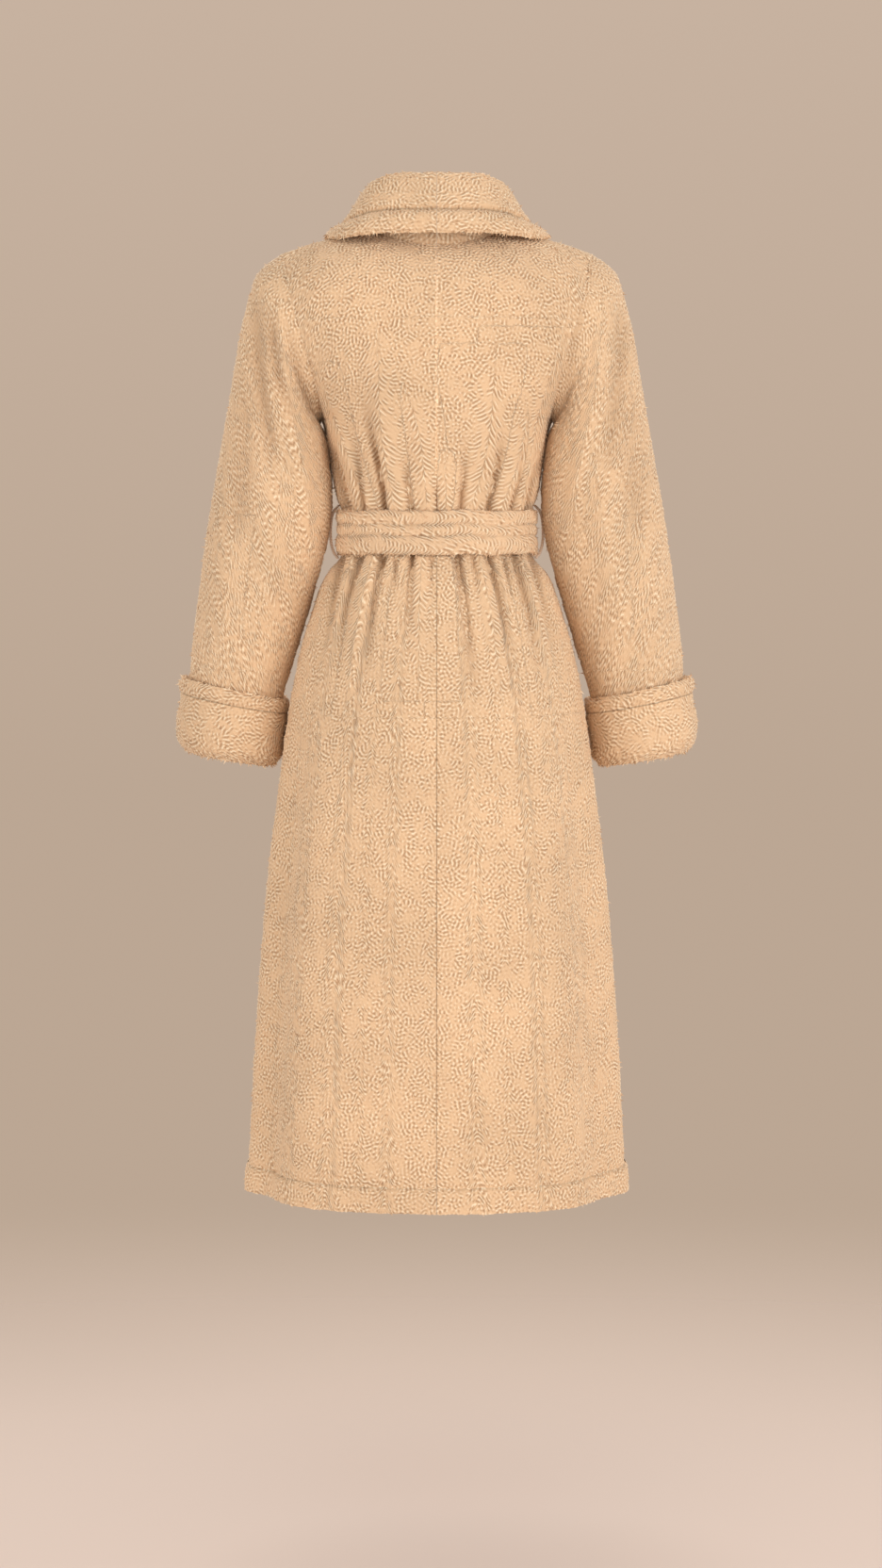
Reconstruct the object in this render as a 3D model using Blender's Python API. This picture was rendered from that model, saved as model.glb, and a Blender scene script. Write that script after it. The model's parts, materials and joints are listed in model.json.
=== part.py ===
"""A plush dressing gown, worn and belted, as its maker's cloth pieces.

Metres, +Z up.  The origin is the point between the wearer's shoulders that
carries the gown.  The back faces +Y, the wrapped front faces -Y and the
wearer's left is +X.  Each panel is a wall of cloth cut from one body form.
"""

import math

import bmesh
import bpy
from mathutils import Vector

# Driving dimensions.
CLOTH = 0.004            # the plush, backing and pile together
BAND_CLOTH = 0.005       # collar and cuffs, sewn from doubled plush
SEAM_GAP = 0.0004        # between two pieces that are sewn together
LENGTH = 1.135           # shoulder to hem
UNDERARM = 0.215         # drop of the underarm below the shoulder
ARMHOLE_TOP = 0.180      # from the centre to the top of the armhole
NECK_WIDE = 0.078        # half-widths of the neckline
NECK_DEEP = 0.072
ROUND_OVER = 0.070       # drop in which the shoulder turns into back or front
HEM_TURN = 0.030         # turned-up hem
HEM_PROUD = 0.0035       # how far the turned-up hem stands out
OVERLAP = 0.36           # the fronts pass the centre by this share of a quarter turn
BELT_TOP = 0.3205        # drop of the belt's upper edge
BELT_WIDE = 0.0520
BELT_THICK = 0.0075
BELT_TURNS = 40          # facets round the belt

# Half-width of the body, depth of its back and of its front, by drop.
WIDTH = ((0.0, 0.190), (0.05, 0.204), (0.12, 0.198), (0.17, 0.170), (0.215, 0.137),
         (0.25, 0.128), (0.30, 0.119), (0.32, 0.1165), (0.374, 0.1165), (0.40, 0.133),
         (0.443, 0.149), (0.482, 0.161), (0.542, 0.1735), (0.646, 0.188),
         (0.783, 0.204), (0.956, 0.2175), (1.135, 0.2275))
BACK = ((0.0, 0.104), (0.05, 0.108), (0.10, 0.114), (0.16, 0.116), (0.22, 0.110),
        (0.28, 0.099), (0.32, 0.0945), (0.374, 0.0945), (0.40, 0.108), (0.45, 0.123),
        (0.54, 0.137), (0.65, 0.145), (0.78, 0.150), (0.96, 0.154), (1.135, 0.158))
FRONT = ((0.0, 0.098), (0.05, 0.104), (0.10, 0.113), (0.16, 0.116), (0.22, 0.110),
         (0.28, 0.100), (0.32, 0.0955), (0.374, 0.0955), (0.40, 0.104), (0.45, 0.114),
         (0.54, 0.125), (0.65, 0.134), (0.78, 0.141), (0.96, 0.147), (1.135, 0.152))
SHOULDER = ((0.0, 0.005), (0.078, 0.003), (0.134, -0.005), (0.18, -0.019))
NECK_SHARE = 0.40        # share of the top row that is neckline

# Soft troughs of the back: (x at the belt, x at the far end, drop of the far end,
# half-width, depth).  The first group runs up from the belt and the second down.
GATHERS_UP = ((0.104, 0.136, 0.19, 0.008, 0.006), (0.066, 0.082, 0.20, 0.009, 0.008),
              (0.030, 0.052, 0.17, 0.008, 0.005), (-0.002, 0.0, 0.25, 0.006, 0.003),
              (-0.029, -0.044, 0.19, 0.008, 0.006), (-0.063, -0.086, 0.20, 0.009, 0.006),
              (-0.100, -0.130, 0.19, 0.009, 0.006))
PLEATS_DOWN = ((0.104, 0.150, 0.60, 0.010, 0.007), (0.076, 0.104, 0.58, 0.010, 0.009),
               (0.046, 0.060, 0.56, 0.009, 0.006), (0.016, 0.022, 0.52, 0.008, 0.004),
               (-0.024, -0.046, 0.60, 0.010, 0.010), (-0.061, -0.094, 0.58, 0.010, 0.008),
               (-0.098, -0.145, 0.60, 0.010, 0.007))
# Long soft waves of the skirt: (angle from the centre back, half-width, height).
SKIRT_WAVES = ((64, 9, -0.010), (81, 8, 0.006), (40, 14, 0.004), (-38, 13, 0.007),
               (-60, 10, -0.006), (-80, 9, 0.005), (8, 16, -0.003))

# The sleeve's outer and inner lines (x, drop), half-depth, and centre in y.
SLEEVE = (((0.180, 0.019), (0.1385, 0.2155), 0.066, 0.0),
          ((0.198, 0.029), (0.1385, 0.218), 0.067, 0.0),
          ((0.2125, 0.0445), (0.1385, 0.221), 0.067, 0.0),
          ((0.2235, 0.078), (0.138, 0.228), 0.067, 0.0),
          ((0.2335, 0.120), (0.137, 0.240), 0.066, 0.0),
          ((0.2430, 0.178), (0.1355, 0.262), 0.064, 0.002),
          ((0.2560, 0.250), (0.133, 0.298), 0.061, 0.003),
          ((0.2700, 0.327), (0.135, 0.350), 0.059, 0.0),
          ((0.2830, 0.412), (0.154, 0.432), 0.058, -0.008),
          ((0.2925, 0.480), (0.1715, 0.500), 0.056, -0.016),
          ((0.2955, 0.520), (0.1850, 0.545), 0.054, -0.020),
          ((0.2970, 0.590), (0.1945, 0.608), 0.052, -0.027))
CUFF = (((0.3055, 0.518), (0.1785, 0.5455), 0.063, -0.020),
        ((0.3085, 0.5485), (0.1805, 0.5710), 0.063, -0.023),
        ((0.3120, 0.575), (0.1855, 0.5960), 0.0635, -0.026),
        ((0.3080, 0.606), (0.1890, 0.6250), 0.061, -0.029))

COLLAR_TOP = 0.068       # height of the collar's roll at the centre back
COLLAR_SIDE = 0.042      # and at the side of the neck
COLLAR_FALL = (0.131, 0.107)  # half-widths of the collar's outer edge at the back
COLLAR_LOW = -0.001      # height of that edge
COLLAR_ENDS = {1: (0.212, 0.262), -1: (0.298, 0.292)}  # drops where the lapels run out
LAPEL_STAND = 0.0090     # a lapel's face above the front that it lies on

KNOT = (0.031, 0.0165, 0.034)   # half-sizes of the belt's knot
BELT_ENDS = {1: (0.0155, 0.052, 0.760), -1: (-0.0155, -0.048, 0.715)}  # top x, low x, drop
BELT_END_WIDE = 0.048
LOOP_RADIUS = 0.0016


def mix(a, b, share):
    return a + (b - a) * share


def ease(share):
    share = min(max(share, 0.0), 1.0)
    return share * share * (3 - 2 * share)


def through(stations, at):
    """The value at this place on a smooth curve through (place, value) stations."""
    last = len(stations) - 1
    i = max(j for j in range(last) if j == 0 or stations[j][0] <= at)
    (p0, v0), (p1, v1) = stations[i], stations[i + 1]
    slope = (v1 - v0) / (p1 - p0)
    before, after = slope, slope
    if i > 0:
        before = (v1 - stations[i - 1][1]) / (p1 - stations[i - 1][0])
    if i + 2 <= last:
        after = (stations[i + 2][1] - v0) / (stations[i + 2][0] - p0)
    t = (at - p0) / (p1 - p0)
    if not 0 <= t <= 1:
        return v0 + slope * (at - p0)
    step = p1 - p0
    return (v0 * (1 + 2 * t) * (1 - t) ** 2 + v1 * t * t * (3 - 2 * t)
            + before * step * t * (1 - t) ** 2 - after * step * t * t * (1 - t))


def bump(distance, half_width):
    return math.exp(-((distance / half_width) ** 2))


# ---- the body form that all panels are cut from ----

def back_fold(x, drop):
    """How far the back's cloth stands out at this place, with its gathers."""
    out = 0.0
    for x_belt, x_end, end, half, depth in GATHERS_UP:
        share = (BELT_TOP - drop) / (BELT_TOP - end)
        if 0 <= share <= 1:
            out -= depth * (1 - ease(share)) * bump(x - mix(x_belt, x_end, share), half)
    belt_bottom = BELT_TOP + BELT_WIDE
    for x_belt, x_end, end, half, depth in PLEATS_DOWN:
        share = (drop - belt_bottom) / (end - belt_bottom)
        if 0 <= share <= 1:
            spread = half * (1 + 1.2 * share)
            fade = (1 - ease(share)) * ease(share * 12)
            out -= depth * fade * bump(x - mix(x_belt, x_end, share), spread)
    return out


def skirt_wave(turn, drop):
    grown = ease((drop - 0.46) / 0.30)
    return grown * sum(h * bump(turn - at, half) for at, half, h in SKIRT_WAVES)


def front_fold(turn, drop):
    """Plain soft folds of the hidden front, spreading from the belt."""
    above, below = BELT_TOP - drop, drop - BELT_TOP - BELT_WIDE
    up = ease(above / 0.02) * ease(1 - above / 0.13)
    down = ease(below / 0.02) * ease(1 - below / 0.24)
    beside = ease((abs(turn) - OVERLAP * 90 - 6) / 16)
    near = up * 0.0025 + down * 0.0040
    folds = near * math.cos(math.radians(turn) * 11) + skirt_wave(turn * 0.9 + 6, drop)
    return beside * folds


def body(turn, drop, front=False, folded=True):
    """A point of the body form, turn degrees from the centre back or front."""
    angle = math.radians(turn)
    rounding = math.sqrt(1 - (1 - min(drop / ROUND_OVER, 1.0)) ** 2) if drop > 0 else 0.0
    half = through(WIDTH, drop)
    deep = through(FRONT if front else BACK, drop) * rounding
    if folded:
        x = half * math.sin(angle)
        turned = min(abs(turn) / 90, 1.0)
        side_calm = 1 - ease((turned - 0.80) / 0.20)
        above = ease(drop / 0.12)
        if front:
            out = front_fold(turn, drop) * side_calm
        else:
            out = (back_fold(x, drop) + skirt_wave(turn, drop)) * side_calm * above
        if drop > LENGTH - HEM_TURN:
            out += HEM_PROUD
        half, deep = half + out, deep + out * rounding
    x, y = half * math.sin(angle), deep * math.cos(angle) + SEAM_GAP / 2
    rise = through(SHOULDER, min(abs(x), 0.2)) * (1 - ease(drop / UNDERARM))
    return Vector((x, -y if front else y, rise - drop))


def armhole_turn(drop):
    """The angle at which the armhole cuts the body form."""
    edge = mix(ARMHOLE_TOP, through(WIDTH, UNDERARM), ease(drop / UNDERARM) * 0.5
               + 0.5 * drop / UNDERARM)
    share = min(edge / through(WIDTH, drop), 1.0)
    return math.degrees(math.asin(share)) if drop < UNDERARM else 90.0


def neckline(share, front_deep=NECK_DEEP):
    """(turn, drop) of the neckline, from the centre (0) to the shoulder (1)."""
    angle = share * math.pi / 2
    x, y = NECK_WIDE * math.sin(angle), front_deep * math.cos(angle)
    turn = math.asin(x / WIDTH[0][1])
    rounding = min(y / math.cos(turn) / BACK[0][1], 1.0)
    return math.degrees(turn), ROUND_OVER * (1 - math.sqrt(1 - rounding ** 2))


def panel_place(across, down):
    """(turn, drop) at a share across a half body and a place down it.

    Down runs 0 to 1 from the neckline and shoulder to the underarm, and past
    1 it counts metres.
    """
    if down >= 1:
        return across * 90, UNDERARM + down - 1
    if abs(across) < NECK_SHARE:
        turn0, drop0 = neckline(abs(across) / NECK_SHARE)
    else:
        share = (abs(across) - NECK_SHARE) / (1 - NECK_SHARE)
        x = mix(NECK_WIDE, ARMHOLE_TOP, share)
        turn0, drop0 = math.degrees(math.asin(x / WIDTH[0][1])), 0.0
    drop = mix(drop0, UNDERARM, down)
    start = math.copysign(turn0 / armhole_turn(0.0), across)
    return mix(start, across, down) * armhole_turn(drop), drop


def front_edge(down):
    """Share across the front at which its wrapped edge runs."""
    drop = UNDERARM * down if down < 1 else UNDERARM + down - 1
    return through(((0.0, NECK_SHARE), (0.10, 0.31), (0.20, 0.13), (0.28, -0.10),
                    (0.34, -OVERLAP), (0.50, -OVERLAP), (LENGTH, -OVERLAP)), drop)


def overlap_lift(across):
    """How far the upper front stands off where the lower one lies under it."""
    return (CLOTH + 0.0016) * ease((OVERLAP + 0.34 - across) / 0.22)


# ---- making walls ----

def normal_of(surface, u, v):
    step = 1e-4
    along_u = surface(u + step, v) - surface(u - step, v)
    along_v = surface(u, v + step) - surface(u, v - step)
    return along_u.cross(along_v).normalized()


def material(name, colour, roughness):
    made = bpy.data.materials.new(name)
    made.use_nodes = True
    shader = made.node_tree.nodes["Principled BSDF"]
    shader.inputs["Base Color"].default_value = (*colour, 1)
    shader.inputs["Roughness"].default_value = roughness
    shader.inputs["Metallic"].default_value = 0.0
    return made


def place_object(name, bm, finish):
    bmesh.ops.recalc_face_normals(bm, faces=bm.faces[:])
    mesh = bpy.data.meshes.new(name)
    bm.to_mesh(mesh)
    bm.free()
    mesh.materials.append(finish)
    mesh.shade_smooth()
    made = bpy.data.objects.new(name, mesh)
    bpy.context.collection.objects.link(made)
    return made


def wall(name, surface, us, vs, finish, thick=CLOTH, outward=1, tube=False, rim=None):
    """A closed wall whose outer face is surface(u, v) at these stations.

    The wall lies behind the surface, and outward says which side is which.  A
    tube's last u meets its first.  A rim gives the normal along the first v,
    where the wall meets another.
    """
    bm = bmesh.new()
    bmesh.ops.create_grid(bm, x_segments=len(us) - 1, y_segments=len(vs) - 1, size=0.5)
    mark = bm.verts.layers.int.new("corner")
    corners = []
    for vert in bm.verts:
        vert[mark] = len(corners)
        corners.append((us[round((vert.co.x + 0.5) * (len(us) - 1))],
                        vs[round((vert.co.y + 0.5) * (len(vs) - 1))]))
    if tube:
        for vert in bm.verts:
            u, v = corners[vert[mark]]
            vert.co = Vector((math.cos(math.tau * u), math.sin(math.tau * u), v))
        bmesh.ops.remove_doubles(bm, verts=bm.verts[:], dist=1e-4)
    outer = set(bm.verts)
    bmesh.ops.extrude_face_region(bm, geom=bm.faces[:], use_keep_orig=True)
    for vert in bm.verts:
        u, v = corners[vert[mark]]
        vert.co = surface(u, v)
        if vert not in outer:
            across = rim(u) if rim and v == vs[0] else normal_of(surface, u, v) * outward
            vert.co -= across * thick
    return place_object(name, bm, finish)


def stations(first, last, count):
    return [mix(first, last, i / count) for i in range(count + 1)]


for old in list(bpy.data.objects):
    bpy.data.objects.remove(old, do_unlink=True)

PLUSH = material("plush", (0.694, 0.464, 0.279), 0.95)
BELT_PLUSH = material("belt_plush", (0.722, 0.491, 0.301), 0.95)
LOOP_CORD = material("loop_cord", (0.62, 0.36, 0.21), 0.8)
SIDES = (("left", 1), ("right", -1))

# Rows of a panel: to the underarm at even steps round the armhole, then by metres
# to the hem.
ARMHOLE_STEPS = 8
UPPER_ROWS = [(1 - math.cos(math.pi * i / ARMHOLE_STEPS)) / 2
              for i in range(ARMHOLE_STEPS + 1)]
LOWER_DROPS = [0.240, 0.270, 0.298, BELT_TOP, BELT_TOP + BELT_WIDE, 0.388, 0.408,
               0.438, 0.478, 0.530, 0.600, 0.700, 0.830, 0.970,
               LENGTH - HEM_TURN - 0.004, LENGTH - HEM_TURN + 0.001, LENGTH]
ROWS = UPPER_ROWS + [drop - UNDERARM + 1 for drop in LOWER_DROPS]
BACK_COLUMNS = 12
FRONT_COLUMNS = 11


# ---- back: two panels, seamed down the centre ----

def back_panel(side):
    def surface(u, v):
        turn, drop = panel_place(mix(CENTRE_GAP, 1, u), max(v, 0.0))
        return body(side * turn, drop)
    return surface


CENTRE_GAP = SEAM_GAP / 2 / (WIDTH[0][1] * math.pi / 2)
for label, side in SIDES:
    wall(f"back_{label}", back_panel(side), stations(0, 1, BACK_COLUMNS), ROWS, PLUSH,
         outward=side)


# ---- fronts: the wearer's right one wraps over the left one ----

def front_panel(side):
    def surface(u, v):
        v = max(v, 0.0)
        across = mix(front_edge(v), 1, u)
        turn, drop = panel_place(across, v)
        place = body(side * turn, drop, front=True)
        if side < 0:
            angle = math.radians(turn)
            place += overlap_lift(across) * Vector((-math.sin(angle), -math.cos(angle), 0))
        return place
    return surface


for label, side in SIDES:
    wall(f"front_{label}", front_panel(side), stations(0, 1, FRONT_COLUMNS), ROWS, PLUSH,
         outward=-side)


# ---- sleeves: tubes set into the armholes, and their turned-back cuffs ----

def tube_point(shape, side, u, v):
    """A point of a tube given by its outer and inner lines; u runs round the back."""
    outer = through([(i, Vector((o[0], 0, -o[1]))) for i, (o, _, _, _) in enumerate(shape)], v)
    inner = through([(i, Vector((n[0], 0, -n[1]))) for i, (_, n, _, _) in enumerate(shape)], v)
    deep = through([(i, d) for i, (_, _, d, _) in enumerate(shape)], v)
    middle = through([(i, m) for i, (_, _, _, m) in enumerate(shape)], v)
    angle = math.tau * u
    place = (outer + inner) / 2 + (outer - inner) / 2 * math.cos(angle)
    place.y = middle + deep * math.sin(angle)
    place.x *= side
    return place


def armhole_place(side, u):
    """(turn, drop, front) of the armhole's edge, u of the way round it."""
    drop = UNDERARM * (1 - math.cos(math.tau * u)) / 2
    return side * armhole_turn(drop), drop, u > 0.5


def sleeve(side):
    def surface(u, v):
        place = tube_point(SLEEVE, side, u, v)
        if v < 2.2:
            turn, drop, front = armhole_place(side, u % 1)
            seam = body(turn, drop, front) + Vector((side * ARMHOLE_GAP, 0, -ARMHOLE_GAP / 2))
            place = seam.lerp(place, ease(v / 2.2))
        return place
    return surface


def armhole_rim(side):
    """The wall's direction at the armhole: the body's at the top, its own below."""
    def rim(u):
        turn, drop, front = armhole_place(side, u % 1)
        step = 1e-3
        drop = max(drop, 2 * step)
        along = body(turn + 0.1, drop, front) - body(turn - 0.1, drop, front)
        down = body(turn, drop + step, front) - body(turn, drop - step, front)
        shoulder = along.cross(down).normalized()
        if shoulder.dot(Vector((side, 0, 1))) < 0:
            shoulder.negate()
        level = math.cos(math.tau * u)
        own = Vector((side * min(level, 0.0), math.sin(math.tau * u), 0))
        return own.lerp(shoulder, ease(level * 1.6)).normalized()
    return rim


ARMHOLE_GAP = 0.0012
for label, side in SIDES:
    rows = [0, 0.6, 1.2, 1.8, 2.6, 3.5, 4.5, 5.5, 6.4, 7.2, 8, 9, 10, 11]
    wall(f"sleeve_{label}", sleeve(side), stations(0, 1, 2 * ARMHOLE_STEPS), rows, PLUSH,
         outward=-side, tube=True, rim=armhole_rim(side))
    wall(f"cuff_{label}", lambda u, v, side=side: tube_point(CUFF, side, u, v),
         stations(0, 1, 16), stations(0, 3, 4), PLUSH, thick=BAND_CLOTH,
         outward=-side, tube=True)


# ---- collar: a shawl collar in two halves, joined at the centre back ----

def front_place(side, across, down, out):
    """A point this far off the side's front panel."""
    def at(a, d):
        turn, drop = panel_place(a, max(d, 0.0))
        place = body(turn, drop, front=True, folded=False)
        place.y -= overlap_lift(a) if side < 0 else 0.0
        return place
    place, step = at(across, down), 1e-3
    sideways = at(across + step, down) - at(across - step, down)
    downward = at(across, max(down, 0.02) + step) - at(across, max(down, 0.02) - step)
    normal = downward.cross(sideways).normalized()
    return place + normal * out, sideways.normalized(), normal


def collar_guides(side, along):
    """Five points across the collar, from its seam over its roll to its outer edge.

    Along runs 0 to 1 from the centre back to the side of the neck, and 1 to 2 down
    the front.
    """
    if along <= 1:
        angle = along * math.pi / 2
        turn, drop = neckline(along)
        inward = Vector((-math.sin(angle), -math.cos(angle), 0))
        seam = body(turn, drop, folded=False) + inward * 0.0078 + Vector((0, 0, -0.001))
        roll = Vector((0.0905 * math.sin(angle), 0.070 * math.cos(angle),
                       mix(COLLAR_SIDE, COLLAR_TOP, math.cos(angle) ** 2)))
        edge = Vector((COLLAR_FALL[0] * math.sin(angle), COLLAR_FALL[1] * math.cos(angle),
                       COLLAR_LOW + 0.005 * math.sin(angle)))
        stand = (seam + roll) / 2 + inward * 0.003
        fullness = mix(-0.004, 0.007, math.cos(angle) ** 2)
        fall = (roll + edge) / 2 - inward * fullness + Vector((0, 0, 0.003))
        return seam, stand, roll, fall, edge
    share = along - 1
    seam_end, edge_end = COLLAR_ENDS[side]
    down = [share * end / UNDERARM if share * end < UNDERARM
            else 1 + share * end - UNDERARM for end in (seam_end, edge_end)]
    settled = ease(share / 0.30)
    start = front_edge(down[0])
    reach = through(((0.0, 0.31), (0.3, 0.27), (0.6, 0.25), (0.85, 0.20), (1.0, 0.13)), share)
    place, sideways, normal = front_place(side, start, down[0], 0.0)
    seam = place - sideways * mix(0.0078, 0.0112, settled) - normal * 0.001
    roll = (place + sideways * mix(0.0125, -0.0055, settled)
            + normal * mix(0.036, LAPEL_STAND + 0.0015, settled))
    stand = (seam + roll) / 2 - sideways * mix(0.003, 0.0022, settled)
    fall, _, _ = front_place(side, start + reach * 0.5, mix(*down, 0.5),
                             mix(0.024, LAPEL_STAND + 0.001, settled))
    edge, _, _ = front_place(side, start + reach, down[1], LAPEL_STAND)
    return seam, stand, roll, fall, edge


def collar(side):
    def surface(u, v):
        points = collar_guides(side, v)
        place = through([(i / 4, point) for i, point in enumerate(points)], u)
        place.x = place.x * side + (side * SEAM_GAP / 2 if v < 0.5 else 0)
        return place
    return surface


for label, side in SIDES:
    along = stations(0, 1, 6) + [1.07, 1.15, 1.24, 1.36, 1.5, 1.66, 1.83, 2.0]
    across = [0, 0.25, 0.42, 0.5, 0.58, 0.72, 0.86, 1.0]
    wall(f"collar_{label}", collar(side), across, along, PLUSH, thick=BAND_CLOTH,
         outward=-side)


# ---- belt: a stuffed band with two sewn channels, knotted in front ----

def belt_skin(turn):
    """Where the belt's inner face runs: clear of the fronts, wrapped or single."""
    front = abs(turn) > 90
    angle = math.copysign(180 - abs(turn) if front else abs(turn), turn)
    place = body(angle, BELT_TOP + BELT_WIDE / 2, front, folded=False)
    if front:
        past_edge = ease((OVERLAP + 0.17 - angle / 90) / 0.14)
        place.y -= overlap_lift(-angle / 90) * past_edge
    return place


def belt(u, v):
    turn = (u % 1) * 360 - 180
    place = belt_skin(turn)
    outward = Vector((place.x / 0.0136, place.y / 0.0089, 0)).normalized()
    rolls = abs(math.cos(math.pi * (v * 3 - 0.5)))
    place += outward * (BELT_GAP + BELT_THICK * mix(0.62, 1.0, rolls))
    place.z = -BELT_TOP - BELT_WIDE * v
    return place


BELT_GAP = 0.0034
wall("belt", belt, stations(0, 1, BELT_TURNS), [0, 0.17, 0.33, 0.5, 0.67, 0.83, 1.0],
     BELT_PLUSH, thick=BELT_THICK * 0.55, outward=1, tube=True)


def rounded_block(name, centre, half_sizes, finish):
    """A soft block: a sphere squared a little and scaled to its half-sizes."""
    bm = bmesh.new()
    bmesh.ops.create_uvsphere(bm, u_segments=16, v_segments=10, radius=1)
    for vert in bm.verts:
        squared = [math.copysign(abs(c) ** 0.75, c) for c in vert.co]
        vert.co = Vector(centre) + Vector([c * h for c, h in zip(squared, half_sizes)])
    return place_object(name, bm, finish)


belt_front = min(belt(0.0, v).y for v in (0.17, 0.5, 0.83))
knot_middle = (0.004, belt_front - KNOT[1] - 0.0008, -BELT_TOP - BELT_WIDE / 2)
rounded_block("belt_knot", knot_middle, KNOT, BELT_PLUSH)


def belt_end(side):
    top_x, low_x, low = BELT_ENDS[side]
    top = BELT_TOP + BELT_WIDE / 2 + KNOT[2] + 0.001

    def surface(u, v):
        drop = mix(top, low, v)
        middle = mix(top_x, low_x, max(v, 0.0) ** 0.7)
        x = middle + (u - 0.5) * BELT_END_WIDE * mix(0.55, 1.0, ease(v * 2.5))
        turn = math.degrees(math.asin(x / through(WIDTH, drop)))
        skirt = body(turn, drop, front=True)
        stand = overlap_lift(0) + BELT_THICK + 0.0025
        y = min(skirt.y - stand, knot_middle[1] + 0.006 - 0.004 * v)
        return Vector((x, y, -drop))
    return surface


for label, side in SIDES:
    wall(f"belt_end_{label}", belt_end(side), stations(0, 1, 4), stations(0, 1, 10),
         BELT_PLUSH, thick=BELT_THICK * 0.8, outward=-1)


# ---- belt loops: a bowed cord at each side seam ----

for label, side in SIDES:
    curve = bpy.data.curves.new(f"belt_loop_{label}", "CURVE")
    curve.dimensions = "3D"
    curve.bevel_depth, curve.bevel_resolution, curve.use_fill_caps = LOOP_RADIUS, 2, True
    line = curve.splines.new("POLY")
    bow = [(0.1192, -0.3135), (0.1265, -0.3185), (0.1282, -0.330), (0.1285, -0.347),
           (0.1282, -0.362), (0.1272, -0.373), (0.1232, -0.3785)]
    line.points.add(len(bow) - 1)
    for point, (x, z) in zip(line.points, bow):
        point.co = (x * side, 0, z, 1)
    curve.materials.append(LOOP_CORD)
    loop = bpy.data.objects.new(f"belt_loop_{label}", curve)
    bpy.context.collection.objects.link(loop)
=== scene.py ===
"""A plush dressing gown, worn and belted, built piece by piece round its frame.

Metres, +Z up.  The origin lies between the wearer's shoulders.  The back faces +Y,
the wrapped front faces -Y, and the wearer's left is +X.
"""
import json
import math

import bmesh
import bpy
import numpy as np
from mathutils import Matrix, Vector

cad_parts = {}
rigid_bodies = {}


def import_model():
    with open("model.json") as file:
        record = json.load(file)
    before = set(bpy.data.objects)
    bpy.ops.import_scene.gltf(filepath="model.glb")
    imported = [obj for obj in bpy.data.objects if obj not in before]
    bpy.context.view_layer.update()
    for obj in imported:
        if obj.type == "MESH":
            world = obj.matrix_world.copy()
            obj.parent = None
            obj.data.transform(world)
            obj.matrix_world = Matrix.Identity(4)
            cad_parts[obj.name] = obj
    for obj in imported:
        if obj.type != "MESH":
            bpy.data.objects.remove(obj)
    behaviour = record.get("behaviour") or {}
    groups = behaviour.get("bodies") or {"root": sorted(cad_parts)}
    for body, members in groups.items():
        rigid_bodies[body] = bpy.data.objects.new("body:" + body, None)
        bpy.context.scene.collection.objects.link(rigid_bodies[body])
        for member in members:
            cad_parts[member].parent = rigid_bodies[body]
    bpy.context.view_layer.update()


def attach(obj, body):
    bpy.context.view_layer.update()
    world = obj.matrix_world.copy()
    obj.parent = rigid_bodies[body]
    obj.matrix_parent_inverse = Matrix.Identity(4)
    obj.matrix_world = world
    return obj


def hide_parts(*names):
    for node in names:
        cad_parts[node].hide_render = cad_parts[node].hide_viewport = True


for startup in list(bpy.data.objects):
    bpy.data.objects.remove(startup, do_unlink=True)
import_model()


# ---- The studio ----
# A pale round floor under the gown, whose rim fades into the taupe surroundings, three
# large soft lights and the camera, square behind the wearer and a little above the belt.

FLOOR_HEIGHT = -1.5
TAUPE = (0.5, 0.385, 0.296)
TAUPE_HIGH = (0.57, 0.445, 0.352)  # the room is a little lighter up the wall
FLOOR_PALE = (0.666, 0.554, 0.486)
POOL_MIDDLE = (0, 0.35, 0)  # of the soft pool of light on the floor
POOL_NEAR, POOL_FAR = 0.2, 1.9  # where it starts to fade, and where it has gone

camera_data = bpy.data.cameras.new("camera")
camera_data.lens, camera_data.sensor_width = 69.23, 36.0
camera = bpy.data.objects.new("camera", camera_data)
camera.location = (-0.005, 3.6, -0.32)
camera.rotation_euler = (math.radians(84.8), 0, math.radians(180))
bpy.context.collection.objects.link(camera)
bpy.context.scene.camera = camera
bpy.context.scene.view_settings.view_transform = "Standard"


MIDDLE = Vector((0, 0, -0.7))


def area_light(name, place, size, power, colour):
    data = bpy.data.lights.new(name, "AREA")
    data.shape, data.size, data.energy, data.color = "DISK", size, power, colour
    light = bpy.data.objects.new(name, data)
    light.location = place
    light.rotation_euler = (MIDDLE - Vector(place)).to_track_quat("-Z", "Y").to_euler()
    bpy.context.collection.objects.link(light)


area_light("key_light", (-2.6, 3.0, 0.0), 2.4, 90, (1.0, 0.975, 0.96))
area_light("fill_light", (2.9, 2.6, -0.3), 2.4, 49, (1.0, 0.97, 0.94))
area_light("front_light", (0.4, -3.6, 1.6), 2.6, 95, (1.0, 0.97, 0.94))


def link(tree, source, target):
    """Joins an output, or a node's first one, to an input, or sets a plain value."""
    source = source.outputs[0] if hasattr(source, "outputs") else source
    if hasattr(source, "is_output"):
        tree.links.new(source, target)
    else:
        target.default_value = source


def node(tree, kind, settings=(), **inputs):
    """A new node with its settings, its inputs joined or set by name or number."""
    made = tree.nodes.new(kind)
    for name, value in dict(settings).items():
        setattr(made, name, value)
    for name, value in inputs.items():
        number = int(name[1:]) if name[1:].isdigit() else name.replace("_", " ")
        link(tree, value, made.inputs[number])
    return made


def maths(tree, what, *values):
    made = node(tree, "ShaderNodeMath", {"operation": what})
    for value, socket in zip(values, made.inputs):
        link(tree, value, socket)
    return made


def times(tree, *values):
    product, *values = values
    for value in values:
        product = maths(tree, "MULTIPLY", product, value)
    return product


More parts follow.
